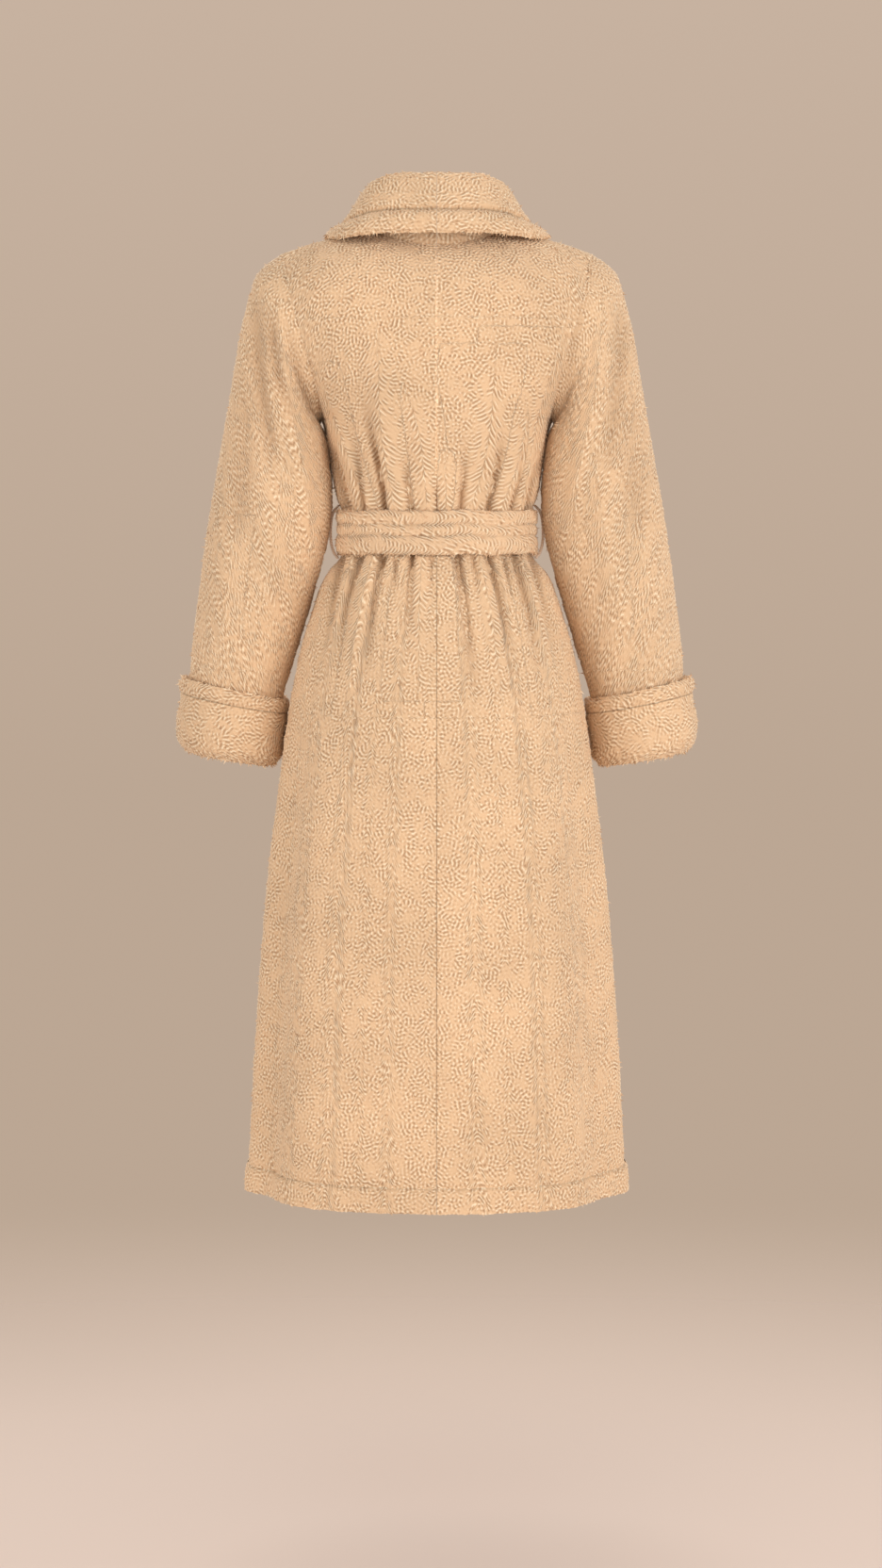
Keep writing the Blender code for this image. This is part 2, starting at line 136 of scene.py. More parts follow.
def scaled(tree, value, low, high, start=0.0, end=1.0, how="LINEAR"):
    """A value between low and high, brought to between start and end."""
    return node(tree, "ShaderNodeMapRange", {"interpolation_type": how}, Value=value,
                From_Min=low, From_Max=high, To_Min=start, To_Max=end)


world = bpy.data.worlds.new("taupe_room")
world.use_nodes = True
bpy.context.scene.world = world
room = world.node_tree
room.nodes.clear()
seen = node(room, "ShaderNodeLightPath").outputs["Is Camera Ray"]
sky = node(room, "ShaderNodeTexCoord").outputs["Generated"]
climb = scaled(room, node(room, "ShaderNodeSeparateXYZ", _0=sky).outputs["Z"], -0.09, 0.16)
wall = node(room, "ShaderNodeMix", {"data_type": "RGBA"}, _0=climb, _6=(*TAUPE, 1),
            _7=(*TAUPE_HIGH, 1))
backdrop = node(room, "ShaderNodeBackground", Color=wall.outputs[2], Strength=1.0)
soft = node(room, "ShaderNodeBackground", Color=(1.0, 0.95, 0.91, 1), Strength=0.68)
either = node(room, "ShaderNodeMixShader", _0=seen, _1=soft, _2=backdrop)
node(room, "ShaderNodeOutputWorld", Surface=either)

floor_bm = bmesh.new()
bmesh.ops.create_circle(floor_bm, cap_ends=True, segments=96, radius=3.2)
bmesh.ops.translate(floor_bm, vec=(0, 0, FLOOR_HEIGHT), verts=floor_bm.verts)
floor_mesh = bpy.data.meshes.new("floor")
floor_bm.to_mesh(floor_mesh)
floor_bm.free()
floor = bpy.data.objects.new("floor", floor_mesh)
bpy.context.collection.objects.link(floor)

floor_paint = bpy.data.materials.new("pale_floor")
floor_paint.use_nodes = True
tree = floor_paint.node_tree
tree.nodes.clear()
place = node(tree, "ShaderNodeTexCoord").outputs["Object"]
level = node(tree, "ShaderNodeVectorMath", {"operation": "MULTIPLY_ADD"}, _0=place,
             _1=(0.5, 1, 0), _2=[-c for c in POOL_MIDDLE])
far = node(tree, "ShaderNodeVectorMath", {"operation": "LENGTH"}, _0=level)
rim = scaled(tree, far.outputs["Value"], POOL_NEAR, POOL_FAR, how="SMOOTHSTEP")
paint = node(tree, "ShaderNodeBsdfDiffuse", Color=(*FLOOR_PALE, 1))
clear = node(tree, "ShaderNodeBsdfTransparent")
faded = node(tree, "ShaderNodeMixShader", _0=rim, _1=paint, _2=clear)
node(tree, "ShaderNodeOutputMaterial", Surface=faded)
floor_mesh.materials.append(floor_paint)


# ---- The plush ----
# Curly fleece in apricot: short ridges that wind about on a tan ground and lie in a
# herringbone along the folds, painted lighter on their crests as painted light and darker
# in their grooves as painted shade.  One pattern of ridges drives the cloth's own relief,
# its colour and its fine bump, and small loose tufts stand out of it.

CURL = 0.0047  # from one ridge of the pile to the next
CURL_CYCLES = 2.4  # ridges that lie side by side before the pattern turns
CURL_FIRM = 3.0  # how soon a faint curl counts as a whole ridge
PATCH_WIDE = 0.024  # of the patches where the pile lies flatter or stands up more
PILE_RISE = 0.0017  # height of the ridges
LUMP_RISE = 0.0012  # and of the wide lumps under them
LUMP_WIDE = 0.016
SEAM_HALF = 0.0022  # half-width of the valley that a row of stitches pulls in
SEAM_DEEP = 0.0016
TUFT_LONG, TUFT_THICK = 0.0042, 0.0008
FOLD_SHADE_DARK = 0.55  # how far the painted shade in a deep fold's trough darkens the pile


def noise(tree, place, scale, detail=2.0):
    return node(tree, "ShaderNodeTexNoise", {"noise_dimensions": "2D"}, Vector=place,
                Scale=scale, Detail=detail)


def ridges(tree, place, comb, combed):
    """The pile's ridges, 0 in a groove to 1 on a crest, at a place on the cloth."""
    curls = node(tree, "ShaderNodeTexGabor", {"gabor_type": "2D"}, Vector=place,
                 Scale=1 / (CURL * CURL_CYCLES), Frequency=CURL_CYCLES,
                 Anisotropy=combed, _4=comb)
    wave = maths(tree, "SINE", times(tree, curls.outputs["Phase"], math.tau))
    strong = maths(tree, "MINIMUM", times(tree, curls.outputs["Intensity"], CURL_FIRM), 1.0)
    patches = noise(tree, place, 1 / PATCH_WIDE, 1.0)
    firm = scaled(tree, patches, 0.28, 0.55, 0.62, 1.0, "SMOOTHSTEP")
    return maths(tree, "MULTIPLY_ADD", times(tree, wave, strong, firm), 0.5, 0.5)


def read(tree, name, kind="FLOAT"):
    made = tree.nodes.new("GeometryNodeInputNamedAttribute")
    made.data_type = kind
    made.inputs["Name"].default_value = name
    return made


def pile_relief(finish):
    """Geometry nodes that raise the ridges and lumps, sink the seams and add tufts."""
    tree = bpy.data.node_groups.new("pile_relief", "GeometryNodeTree")
    tree.interface.new_socket("Cloth", in_out="INPUT", socket_type="NodeSocketGeometry")
    tree.interface.new_socket("Cloth", in_out="OUTPUT", socket_type="NodeSocketGeometry")
    inside, outside = tree.nodes.new("NodeGroupInput"), tree.nodes.new("NodeGroupOutput")
    place, face = read(tree, "cloth", "FLOAT_VECTOR"), read(tree, "pile")
    crest = ridges(tree, place, read(tree, "comb"), read(tree, "combed"))
    lumps = noise(tree, place, 1 / LUMP_WIDE, 1.0)
    rise = times(tree, maths(tree, "SUBTRACT", crest, 0.5), PILE_RISE)
    swell = times(tree, maths(tree, "SUBTRACT", lumps, 0.5), LUMP_RISE * 2)
    reach = maths(tree, "DIVIDE", read(tree, "seam"), SEAM_HALF)
    valley = maths(tree, "EXPONENT", times(tree, reach, reach, -1.0))
    sunk = times(tree, valley, read(tree, "pull"), -SEAM_DEEP)
    height = times(tree, maths(tree, "ADD", maths(tree, "ADD", rise, swell), sunk), face)
    normal = tree.nodes.new("GeometryNodeInputNormal")
    offset = node(tree, "ShaderNodeVectorMath", {"operation": "SCALE"}, _0=normal, Scale=height)
    raised = node(tree, "GeometryNodeSetPosition", Geometry=inside, Offset=offset)
    spots = node(tree, "GeometryNodeDistributePointsOnFaces", Mesh=raised,
                 Density=read(tree, "tufts"))
    tuft = node(tree, "GeometryNodeMeshCone", {"fill_type": "TRIANGLE_FAN"}, Vertices=3,
                Side_Segments=2, Radius_Top=0.0, Radius_Bottom=TUFT_THICK, Depth=TUFT_LONG)
    stray = node(tree, "FunctionNodeRandomValue", {"data_type": "FLOAT_VECTOR"},
                 _0=(-0.8, -0.8, -1.3), _1=(0.8, 0.8, 0.3))
    lean = node(tree, "ShaderNodeVectorMath", {"operation": "ADD"},
                _0=spots.outputs["Normal"], _1=stray)
    turned = node(tree, "FunctionNodeAlignRotationToVector", {"axis": "Z"}, Vector=lean)
    size = node(tree, "FunctionNodeRandomValue", _2=0.6, _3=1.25)
    grown = node(tree, "GeometryNodeInstanceOnPoints", Points=spots.outputs["Points"],
                 Instance=tuft, Rotation=turned, Scale=size.outputs[1])
    real = node(tree, "GeometryNodeRealizeInstances", Geometry=grown)
    coloured = node(tree, "GeometryNodeSetMaterial", Geometry=real, Material=finish)
    joined = tree.nodes.new("GeometryNodeJoinGeometry")
    link(tree, coloured, joined.inputs[0])
    link(tree, raised, joined.inputs[0])
    link(tree, joined, outside.inputs[0])
    return tree


def attribute(tree, name, output="Fac"):
    return node(tree, "ShaderNodeAttribute", {"attribute_name": name}).outputs[output]


def ramp(tree, value, stops):
    made = node(tree, "ShaderNodeValToRGB", Fac=value)
    while len(made.color_ramp.elements) < len(stops):
        made.color_ramp.elements.new(0.5)
    for element, (at, colour) in zip(made.color_ramp.elements, stops):
        element.position, element.color = at, (*colour, 1)
    return made.outputs["Color"]


def plush(name, groove, ground, crest):
    """The plush's finish, its colours running from its grooves to its crests, with painted shade
    in the grooves and painted light on the crests.
    """
    finish = bpy.data.materials.new(name)
    finish.use_nodes = True
    tree = finish.node_tree
    shader = tree.nodes["Principled BSDF"]
    place = node(tree, "ShaderNodeUVMap", {"uv_map": "cloth"})
    height = ridges(tree, place, attribute(tree, "comb"), attribute(tree, "combed"))
    # Painted shade and light: by the ridges' height the ramp darkens the pile's grooves and
    # lightens its crests.
    colour = ramp(tree, height, ((0.06, groove), (0.36, ground), (0.66, ground), (0.92, crest)))
    fibres = noise(tree, place, 1100.0)
    flecks = scaled(tree, fibres, 0.25, 0.75, 0.93, 1.07)
    drift = scaled(tree, noise(tree, place, 9.0), 0.3, 0.7, 0.95, 1.05)
    thread = scaled(tree, attribute(tree, "seam"), 0.0003, 0.0016, 0.42, 0.0, "SMOOTHSTEP")
    stitch = maths(tree, "SUBTRACT", 1.0, times(tree, thread, attribute(tree, "pull")))
    value = times(tree, flecks, drift, stitch)
    # Painted shade: in the troughs of deep folds the colour is mixed towards a darker groove
    # colour, standing in for the shade that falls there.
    fold_shade_mix = times(tree, attribute(tree, "fold_shade"), FOLD_SHADE_DARK)
    colour = node(tree, "ShaderNodeMix", {"data_type": "RGBA"}, _0=fold_shade_mix, _6=colour,
                  _7=(*[c * 0.8 for c in groove], 1)).outputs[2]
    toned = node(tree, "ShaderNodeVectorMath", {"operation": "SCALE"}, _0=colour, Scale=value)
    link(tree, toned, shader.inputs["Base Color"])
    soft = node(tree, "ShaderNodeBump", Strength=0.75, Distance=0.0015, Height=height)
    fine = node(tree, "ShaderNodeBump", Strength=0.35, Distance=0.0005, Height=fibres, Normal=soft)
    link(tree, fine, shader.inputs["Normal"])
    for socket, amount in (("Roughness", 0.92), ("Specular IOR Level", 0.15),
                           ("Sheen Weight", 0.32), ("Sheen Roughness", 0.5)):
        shader.inputs[socket].default_value = amount
    shader.inputs["Sheen Tint"].default_value = (1.0, 0.9, 0.78, 1)
    return finish


PLUSH = plush("apricot_plush", (0.48, 0.288, 0.16), (0.712, 0.48, 0.29), (0.88, 0.7, 0.49))
PLUSH_RELIEF = pile_relief(PLUSH)


def mix(a, b, share):
    return a + (b - a) * share


def ease(share):
    share = np.clip(share, 0.0, 1.0)
    return share * share * (3 - 2 * share)


def bump(distance, half_width):
    return np.exp(-(distance / half_width) ** 2)


def through(stations, at):
    """The values at these places on a smooth curve through (place, value) stations."""
    p, v = (np.array(column, float) for column in zip(*stations))
    at = np.asarray(at, float)
    rise = np.empty(len(v))
    rise[1:-1] = (v[2:] - v[:-2]) / (p[2:] - p[:-2])
    rise[0], rise[-1] = (v[1] - v[0]) / (p[1] - p[0]), (v[-1] - v[-2]) / (p[-1] - p[-2])
    i = np.clip(np.searchsorted(p, at, side="right") - 1, 0, len(p) - 2)
    step = p[i + 1] - p[i]
    t = (at - p[i]) / step
    inside = (v[i] * (1 + 2 * t) * (1 - t) ** 2 + v[i + 1] * t * t * (3 - 2 * t)
              + rise[i] * step * t * (1 - t) ** 2 - rise[i + 1] * step * t * t * (1 - t))
    beyond = v[i] + (v[i + 1] - v[i]) * t
    return np.where((t < 0) | (t > 1), beyond, inside)


def point(x, y, z):
    return np.stack(np.broadcast_arrays(x, y, z), axis=-1)


def unit(vectors):
    return vectors / np.maximum(np.linalg.norm(vectors, axis=-1, keepdims=True), 1e-12)


def lengths(surface, tube, level):
    """A function from (u, v) to metres along the cloth: across from u = 0, and down."""
    us, vs = np.linspace(0, 1, 121), np.linspace(0, 1, 251)
    grid = surface(*np.meshgrid(us, vs, indexing="ij"))
    across = np.zeros(grid.shape[:2])
    across[1:] = np.cumsum(np.linalg.norm(np.diff(grid, axis=0), axis=-1), axis=0)
    down = np.zeros(grid.shape[:2])
    down[:, 1:] = np.cumsum(np.linalg.norm(np.diff(grid, axis=1), axis=-1), axis=1)
    down -= down[:, [round(level * 250)]]

    def at(u, v):
        whole = np.floor(u) if tube else 0 * u
        a, b = (u - whole) * 120, v * 250
        i, j = np.clip(a.astype(int), 0, 119), np.clip(b.astype(int), 0, 249)
        a, b = a - i, b - j

        def between(table):
            return ((table[i, j] * (1 - a) + table[i + 1, j] * a) * (1 - b)
                    + (table[i, j + 1] * (1 - a) + table[i + 1, j + 1] * a) * b)
        return between(across) + whole * mix(across[-1, j], across[-1, j + 1], b), between(down)
    return at


def normals(surface, u, v):
    step = 4e-4
    return unit(np.cross(surface(u + step, v) - surface(u - step, v),
                         surface(u, v + step) - surface(u, v - step)))


def numbers(items, name, kind, each=1):
    """One number, or each in a row, read from every item."""
    found = np.empty(len(items) * each, kind)
    items.foreach_get(name, found)
    return found


def cloth(name, surface, columns, rows, fine, thick, outward, tube=False, level=0.0,
          comb=None, seam=None, tufts=2500, finish=PLUSH, relief=PLUSH_RELIEF, fold_shade=None,
          butted=None):
    """A watertight piece of plush whose outer face is surface(u, v), u and v from 0 to 1.

    A coarse grid is laid out flat, rolled up if it is a tube, and given its wall.  Its
    outer face is cut finer, and every point takes its place in the gown.  comb gives the
    nap's direction and strength, seam the distance from stitches and how hard they pull,
    tufts how many stand on a square metre, and fold_shade how far painted shade darkens
    the pile in the troughs of folds.
    A butted piece meets its neighbour cleanly, at u = 0 or at v = 0.
    """
    bm = bmesh.new()
    bmesh.ops.create_grid(bm, x_segments=columns, y_segments=rows, size=0.5)
    bmesh.ops.translate(bm, vec=(0.5, 0.5, 0), verts=bm.verts)
    if tube:
        for vert in bm.verts:
            angle = math.tau * vert.co.x
            vert.co = (2 * math.cos(angle), 2 * math.sin(angle), vert.co.y)
        bmesh.ops.remove_doubles(bm, verts=bm.verts, dist=1e-5)
    outer = bm.edges[:]
    shell = bmesh.ops.extrude_face_region(bm, geom=bm.faces[:], use_keep_orig=True)
    for vert in shell["geom"]:
        if isinstance(vert, bmesh.types.BMVert):
            x, y, z = vert.co
            vert.co = (x / 2, y / 2, z) if tube else (x, y, z - 1)
    bmesh.ops.subdivide_edges(bm, edges=outer, cuts=fine - 1, use_grid_fill=True)
    bmesh.ops.triangulate(bm, faces=[face for face in bm.faces if len(face.verts) > 4])
    bm.verts.index_update()
    corners = [tuple(vert.index for vert in face.verts) for face in bm.faces]
    firsts = [ring.index(min(ring)) for ring in corners]
    mesh = bpy.data.meshes.new(name)
    # In one order on every run, so that the tufts always stand at the same points.
    mesh.from_pydata([vert.co for vert in bm.verts], [],
                     sorted(ring[at:] + ring[:at] for ring, at in zip(corners, firsts)))
    bm.free()
    flat = numbers(mesh.vertices, "co", float, 3).reshape(-1, 3)
    if tube:
        u, v = np.arctan2(flat[:, 1], flat[:, 0]) / math.tau % 1, flat[:, 2]
        pile = (np.hypot(flat[:, 0], flat[:, 1]) > 1.5).astype(float)
    else:
        u, v, pile = flat[:, 0], flat[:, 1], (flat[:, 2] > -0.5).astype(float)
    u, v = u.copy(), np.clip(v, 0, 1)
    place = surface(u, v) - normals(surface, u, v) * (outward * thick * (1 - pile))[:, None]
    mesh.vertices.foreach_set("co", place.ravel())

    corners = numbers(mesh.loops, "vertex_index", np.int32)
    starts = numbers(mesh.polygons, "loop_start", np.int32)
    first = np.repeat(u[corners[starts]], numbers(mesh.polygons, "loop_total", np.int32))
    u_corner = u[corners]
    if tube:
        u_corner = u_corner + np.round(first - u_corner)
    across, down = lengths(surface, tube, level)(u_corner, v[corners])
    across = across + len(bpy.data.meshes) * 0.37
    mesh.uv_layers.new(name="cloth").data.foreach_set("uv", np.stack([across, down], 1).ravel())

    combs, combed = comb(place, u, v) if comb else (0 * u, 0 * u)
    apart, pull = seam(place, u, v) if seam else (0 * u + 1, 0 * u)
    if butted:
        pile = pile * ease((u if butted == "u" else v) * 160)
    values = {"pile": pile, "comb": combs, "combed": combed, "seam": apart, "pull": pull,
              "fold_shade": fold_shade(place, u, v) if fold_shade else 0 * u,
              "tufts": pile * (tufts(place, u, v) if callable(tufts) else tufts)}
    for label, value in values.items():
        mesh.attributes.new(label, "FLOAT", "POINT").data.foreach_set("value", value)

    bm = bmesh.new()
    bm.from_mesh(mesh)
    bmesh.ops.recalc_face_normals(bm, faces=bm.faces[:])
    bm.to_mesh(mesh)
    bm.free()
    mesh.shade_smooth()
    if butted:
        mesh.set_sharp_from_angle(angle=math.radians(65))
    mesh.materials.append(finish)
    piece = bpy.data.objects.new(name, mesh)
    bpy.context.collection.objects.link(piece)
    piece.modifiers.new("pile_relief", "NODES").node_group = relief
    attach(piece, "root")
    return piece


# ---- The back: two panels seamed down the centre ----
# Each panel runs from the neckline and shoulder to a turned-up hem.  The belt gathers
# the cloth into soft folds that spread up over the blades and down into the skirt, and
# the centre seam is sewn by machine.  Panels and fronts are cut from one body form.

CLOTH = 0.004
SEAM_GAP = 0.0004
STITCH = 0.0055  # from one stitch of the centre seam to the next
LENGTH, UNDERARM = 1.135, 0.215
ARMHOLE_TOP, NECK_WIDE, NECK_DEEP = 0.18, 0.078, 0.072
ROUND_OVER = 0.07
HEM_TURN, HEM_PROUD = 0.03, 0.0042
OVERLAP = 0.36
BELT_TOP, BELT_WIDE, BELT_THICK = 0.3205, 0.052, 0.0075
BELT_LOW = BELT_TOP + BELT_WIDE

# Half-widths and half-depths of the body form: (drop, metres).  SHOULDER is the
# shoulder line's height: (x, metres).
WIDTH = ((0.0, 0.19), (0.05, 0.204), (0.12, 0.198), (0.17, 0.17), (0.215, 0.137),
         (0.25, 0.1285), (0.275, 0.1245), (0.295, 0.121), (0.31, 0.117), (0.321, 0.1125),
         (0.373, 0.1125), (0.4, 0.133), (0.443, 0.149), (0.482, 0.161), (0.542, 0.1735),
         (0.646, 0.188), (0.783, 0.204), (0.956, 0.2175), (1.135, 0.2275))
BACK = ((0.0, 0.104), (0.05, 0.108), (0.1, 0.114), (0.16, 0.116), (0.22, 0.11),
        (0.28, 0.099), (0.32, 0.0945), (0.374, 0.0945), (0.4, 0.108), (0.45, 0.123),
        (0.54, 0.137), (0.65, 0.145), (0.78, 0.15), (0.96, 0.154), (1.135, 0.158))
FRONT = ((0.0, 0.098), (0.05, 0.104), (0.1, 0.113), (0.16, 0.116), (0.22, 0.11),
         (0.28, 0.1), (0.32, 0.0955), (0.374, 0.0955), (0.4, 0.104), (0.45, 0.114),
         (0.54, 0.125), (0.65, 0.134), (0.78, 0.141), (0.96, 0.147), (1.135, 0.152))
SHOULDER = ((0.0, 0.005), (0.078, 0.003), (0.134, -0.005), (0.18, -0.019))
NECK_SHARE = 0.4
UPPER_SHARE = 0.28  # share of a panel's rows that lie above the underarm

# Folds of the back: points (drop, x), half-width at each end, height (minus is a trough),
# and the nap's herringbone along it.
BACK_FOLDS = (
    (((0.1, 0.07), (0.121, 0.068), (0.235, 0.064), (0.303, 0.052), (0.322, 0.049)),
     0.014, 0.0045, 1.0),
    (((0.165, 0.04), (0.178, 0.037), (0.235, 0.02), (0.303, 0.0125), (0.322, 0.011)),
     0.009, 0.0025, 0.9),
    (((0.13, -0.068), (0.153, -0.067), (0.235, -0.0607), (0.291, -0.0486), (0.322, -0.0355)),
     0.014, 0.004, 1.0),
    (((0.18, -0.11), (0.2, -0.1066), (0.268, -0.0945), (0.314, -0.077), (0.322, -0.075)),
     0.011, 0.0045, 1.0),
    (((0.15, 0.136), (0.166, 0.133), (0.223, 0.1164), (0.268, 0.1), (0.322, 0.08)),
     0.01, 0.004, 1.0),
    (((0.11, -0.146), (0.133, -0.1415), (0.211, -0.1186), (0.322, -0.098)), 0.012, 0.003, 0.8),
    (((0.25, -0.01), (0.28, -0.01), (0.322, -0.011)), 0.007, 0.0018, 0.7),
    (((0.15, 0.088), (0.211, 0.08), (0.28, 0.066), (0.322, 0.0596)), 0.0055, -0.0128),
    (((0.2, 0.112), (0.268, 0.093), (0.322, 0.0845)), 0.0055, -0.0101),
    (((0.215, 0.134), (0.268, 0.118), (0.322, 0.1045)), 0.006, -0.0108),
    (((0.235, 0.042), (0.29, 0.034), (0.322, 0.03)), 0.005, -0.0088),
    (((0.265, 0.001), (0.322, 0.0)), 0.0035, -0.0041),
    (((0.215, -0.036), (0.29, -0.031), (0.322, -0.0275)), 0.005, -0.0081),
    (((0.19, -0.082), (0.28, -0.069), (0.322, -0.06)), 0.0055, -0.0101),
    (((0.205, -0.112), (0.28, -0.096), (0.322, -0.087)), 0.0055, -0.0095),
    (((0.225, -0.13), (0.28, -0.114), (0.322, -0.105)), 0.0055, -0.0095),
    (((0.37, 0.112), (0.45, 0.125), (0.56, 0.14)), 0.0062, -0.0138),
    (((0.37, 0.089), (0.433, 0.106), (0.57, 0.128)), 0.0062, -0.0138),
    (((0.37, 0.063), (0.43, 0.0745), (0.58, 0.094)), 0.0062, -0.0145),
    (((0.37, 0.046), (0.4, 0.05), (0.45, 0.056)), 0.004, -0.0073),
    (((0.37, 0.029), (0.42, 0.032), (0.52, 0.036)), 0.0055, -0.0106),
    (((0.37, 0.006), (0.4, 0.007), (0.45, 0.008)), 0.0045, -0.0056),
    (((0.37, -0.0235), (0.44, -0.034), (0.6, -0.05)), 0.0065, -0.017),
    (((0.37, -0.042), (0.4, -0.046), (0.45, -0.053)), 0.0042, -0.0073),
    (((0.37, -0.0596), (0.44, -0.076), (0.58, -0.096)), 0.0062, -0.013),
    (((0.37, -0.078), (0.4, -0.084), (0.45, -0.095)), 0.0045, -0.0082),
    (((0.37, -0.091), (0.44, -0.1077), (0.58, -0.134)), 0.0062, -0.0138),
    (((0.37, -0.111), (0.44, -0.128), (0.54, -0.146)), 0.0058, -0.0114),
    (((0.376, 0.076), (0.44, 0.09), (0.56, 0.108)), 0.008, 0.003, 0.8),
    (((0.376, 0.018), (0.44, 0.02), (0.54, 0.022)), 0.009, 0.0026, 0.7),
    (((0.376, -0.05), (0.44, -0.063), (0.56, -0.078)), 0.008, 0.003, 0.8),
    (((0.376, 0.1), (0.44, 0.116), (0.56, 0.136)), 0.007, 0.0025, 0.7),
    (((0.376, -0.1), (0.44, -0.118), (0.56, -0.14)), 0.007, 0.0025, 0.7))
# Furrows that the arm's weight draws in beside each armhole: (drop, x), half-width, height.
ARM_FURROWS = ((((0.085, 0.171), (0.13, 0.16), (0.175, 0.148), (0.225, 0.137)), 0.006, -0.006),
               (((0.1, -0.17), (0.14, -0.158), (0.18, -0.147), (0.225, -0.137)), 0.007, -0.0042))
# Long soft waves of the skirt: angle from the centre back, half-width, height.
SKIRT_WAVES = ((64, 9, -0.01), (81, 8, 0.006), (40, 14, 0.004), (-38, 13, 0.007),
               (-60, 10, -0.006), (-80, 9, 0.005), (8, 16, -0.003))


def fold_fade(line, drop):
    """How grown a fold is here: whole at the belt, dying away at its far end."""
    first, last = line[0][0], line[-1][0]
    share = (drop - first) / (last - first)
    at_belt = share if last < BELT_LOW else 1 - share
    inside = (share >= -0.02) & (share <= 1.02)
    return inside * ease(at_belt * 1.35)


def back_fold(x, drop):
    """How far the gathers raise the back's cloth at this place."""
    out = 0 * x
    for line, half, height, *_ in BACK_FOLDS:
        fade = fold_fade(line, drop)
        if height < 0:
            fade, spread = fade ** 1.6, half * (0.66 + 1.3 * (1 - fade))
            fade = fade * mix(0.35, 1, np.exp(-np.maximum(drop - BELT_LOW, 0) / 0.045))
        else:
            spread = half * (1 + 0.9 * (1 - fade))
        middle = through(line, np.clip(drop, line[0][0], line[-1][0]))
        out = out + height * fade * bump(x - middle, spread)
    out = out * ease(abs(drop - BELT_TOP - BELT_WIDE / 2) / (BELT_WIDE * 0.5))
    for line, half, height in ARM_FURROWS:
        share = (drop - line[0][0]) / (line[-1][0] - line[0][0])
        middle = through(line, np.clip(drop, line[0][0], line[-1][0]))
        out = out + height * ease(share * 1.6) * ease((1.25 - share) * 3) * bump(x - middle, half)
    return out


def skirt_wave(turn, drop):
    grown = ease((drop - 0.46) / 0.3)
    return grown * sum(h * bump(turn - at, half) for at, half, h in SKIRT_WAVES)


def front_fold(turn, drop):
    """Plain soft folds of the front, spreading from the belt."""
    above, below = BELT_TOP - drop, drop - BELT_LOW
    up = ease(above / 0.02) * ease(1 - above / 0.13)
    down = ease(below / 0.02) * ease(1 - below / 0.24)
    beside = ease((abs(turn) - OVERLAP * 90 - 6) / 16)
    near = up * 0.0028 + down * 0.0045
    folds = near * np.cos(np.radians(turn) * 13) + skirt_wave(turn * 0.9 + 6, drop)
    return beside * folds


def body(turn, drop, front=False, folded=True):
    """A point of the body form, turn degrees from the centre back or front."""
    angle = np.radians(turn)
    flatter = np.clip(drop / ROUND_OVER, 0, 1)
    rounding = np.sqrt(np.maximum(1 - (1 - flatter) ** 2, 0))
    half = through(WIDTH, drop)
    deep = through(FRONT if front else BACK, drop) * rounding
    if folded:
        calm = 1 - ease((np.clip(abs(turn) / 90, 0, 1) - 0.8) / 0.2)
        if front:
            out = front_fold(turn, drop) * calm
        else:
            out = back_fold(half * np.sin(angle), drop) + skirt_wave(turn, drop)
            out = out * calm * ease(drop / 0.12)
        out = out + HEM_PROUD * ease((drop - LENGTH + HEM_TURN) / 0.004)
        half, deep = half + out, deep + out * rounding
    x, y = half * np.sin(angle), deep * np.cos(angle) + SEAM_GAP / 2
    rise = through(SHOULDER, np.minimum(abs(x), 0.2)) * (1 - ease(drop / UNDERARM))
    return point(x, -y if front else y, rise - drop)


def armhole_turn(drop):
    """The angle at which the armhole cuts the body form."""
    share = ease(drop / UNDERARM) * 0.5 + 0.5 * drop / UNDERARM
    edge = mix(ARMHOLE_TOP, through(WIDTH, UNDERARM), share)
    turn = np.degrees(np.arcsin(np.clip(edge / through(WIDTH, drop), 0, 1)))
    return np.where(drop < UNDERARM, turn, 90.0)


def neckline(share):
    """(turn, drop) of the neckline, from the centre (0) to the shoulder (1)."""
    angle = share * math.pi / 2
    x, y = NECK_WIDE * np.sin(angle), NECK_DEEP * np.cos(angle)
    turn = np.arcsin(x / WIDTH[0][1])
    rounding = np.minimum(y / np.cos(turn) / BACK[0][1], 1.0)
    return np.degrees(turn), ROUND_OVER * (1 - np.sqrt(1 - rounding ** 2))


def panel_place(across, down, opened=armhole_turn):
    """(turn, drop) at a share across a half body, and down it: from 0 at the top to 1
    at the underarm, and past that in metres.  opened(drop) is the angle at the edge."""
    neck_turn, neck_drop = neckline(np.clip(abs(across) / NECK_SHARE, 0, 1))
    x = mix(NECK_WIDE, ARMHOLE_TOP, np.clip((abs(across) - NECK_SHARE) / (1 - NECK_SHARE), 0, 1))
    on_neck = abs(across) < NECK_SHARE
    turn0 = np.where(on_neck, neck_turn, np.degrees(np.arcsin(x / WIDTH[0][1])))
    drop0 = np.where(on_neck, neck_drop, 0.0)
    share = np.clip(down, 0, 1)
    drop = mix(drop0, UNDERARM, share) + np.maximum(down - 1, 0)
    start = np.copysign(turn0 / armhole_turn(0.0), across)
    return mix(start, across, share) * opened(drop), drop


def panel_down(v):
    """How far down a panel its row lies, rows closing up where the shoulder rounds."""
    upper = 1 - np.cos(np.pi / 2 * np.clip(v / UPPER_SHARE, 0, 1))
    return upper + np.clip((v - UPPER_SHARE) / (1 - UPPER_SHARE), 0, 1) * (LENGTH - UNDERARM)


OPENS_FROM = 0.125


def inner_turn(drop):
    """The armhole's angle, opened slowly past the underarm, for the columns inside it."""
    return mix(armhole_turn(np.minimum(drop, OPENS_FROM)), 90, ease((drop - OPENS_FROM) / 0.22))


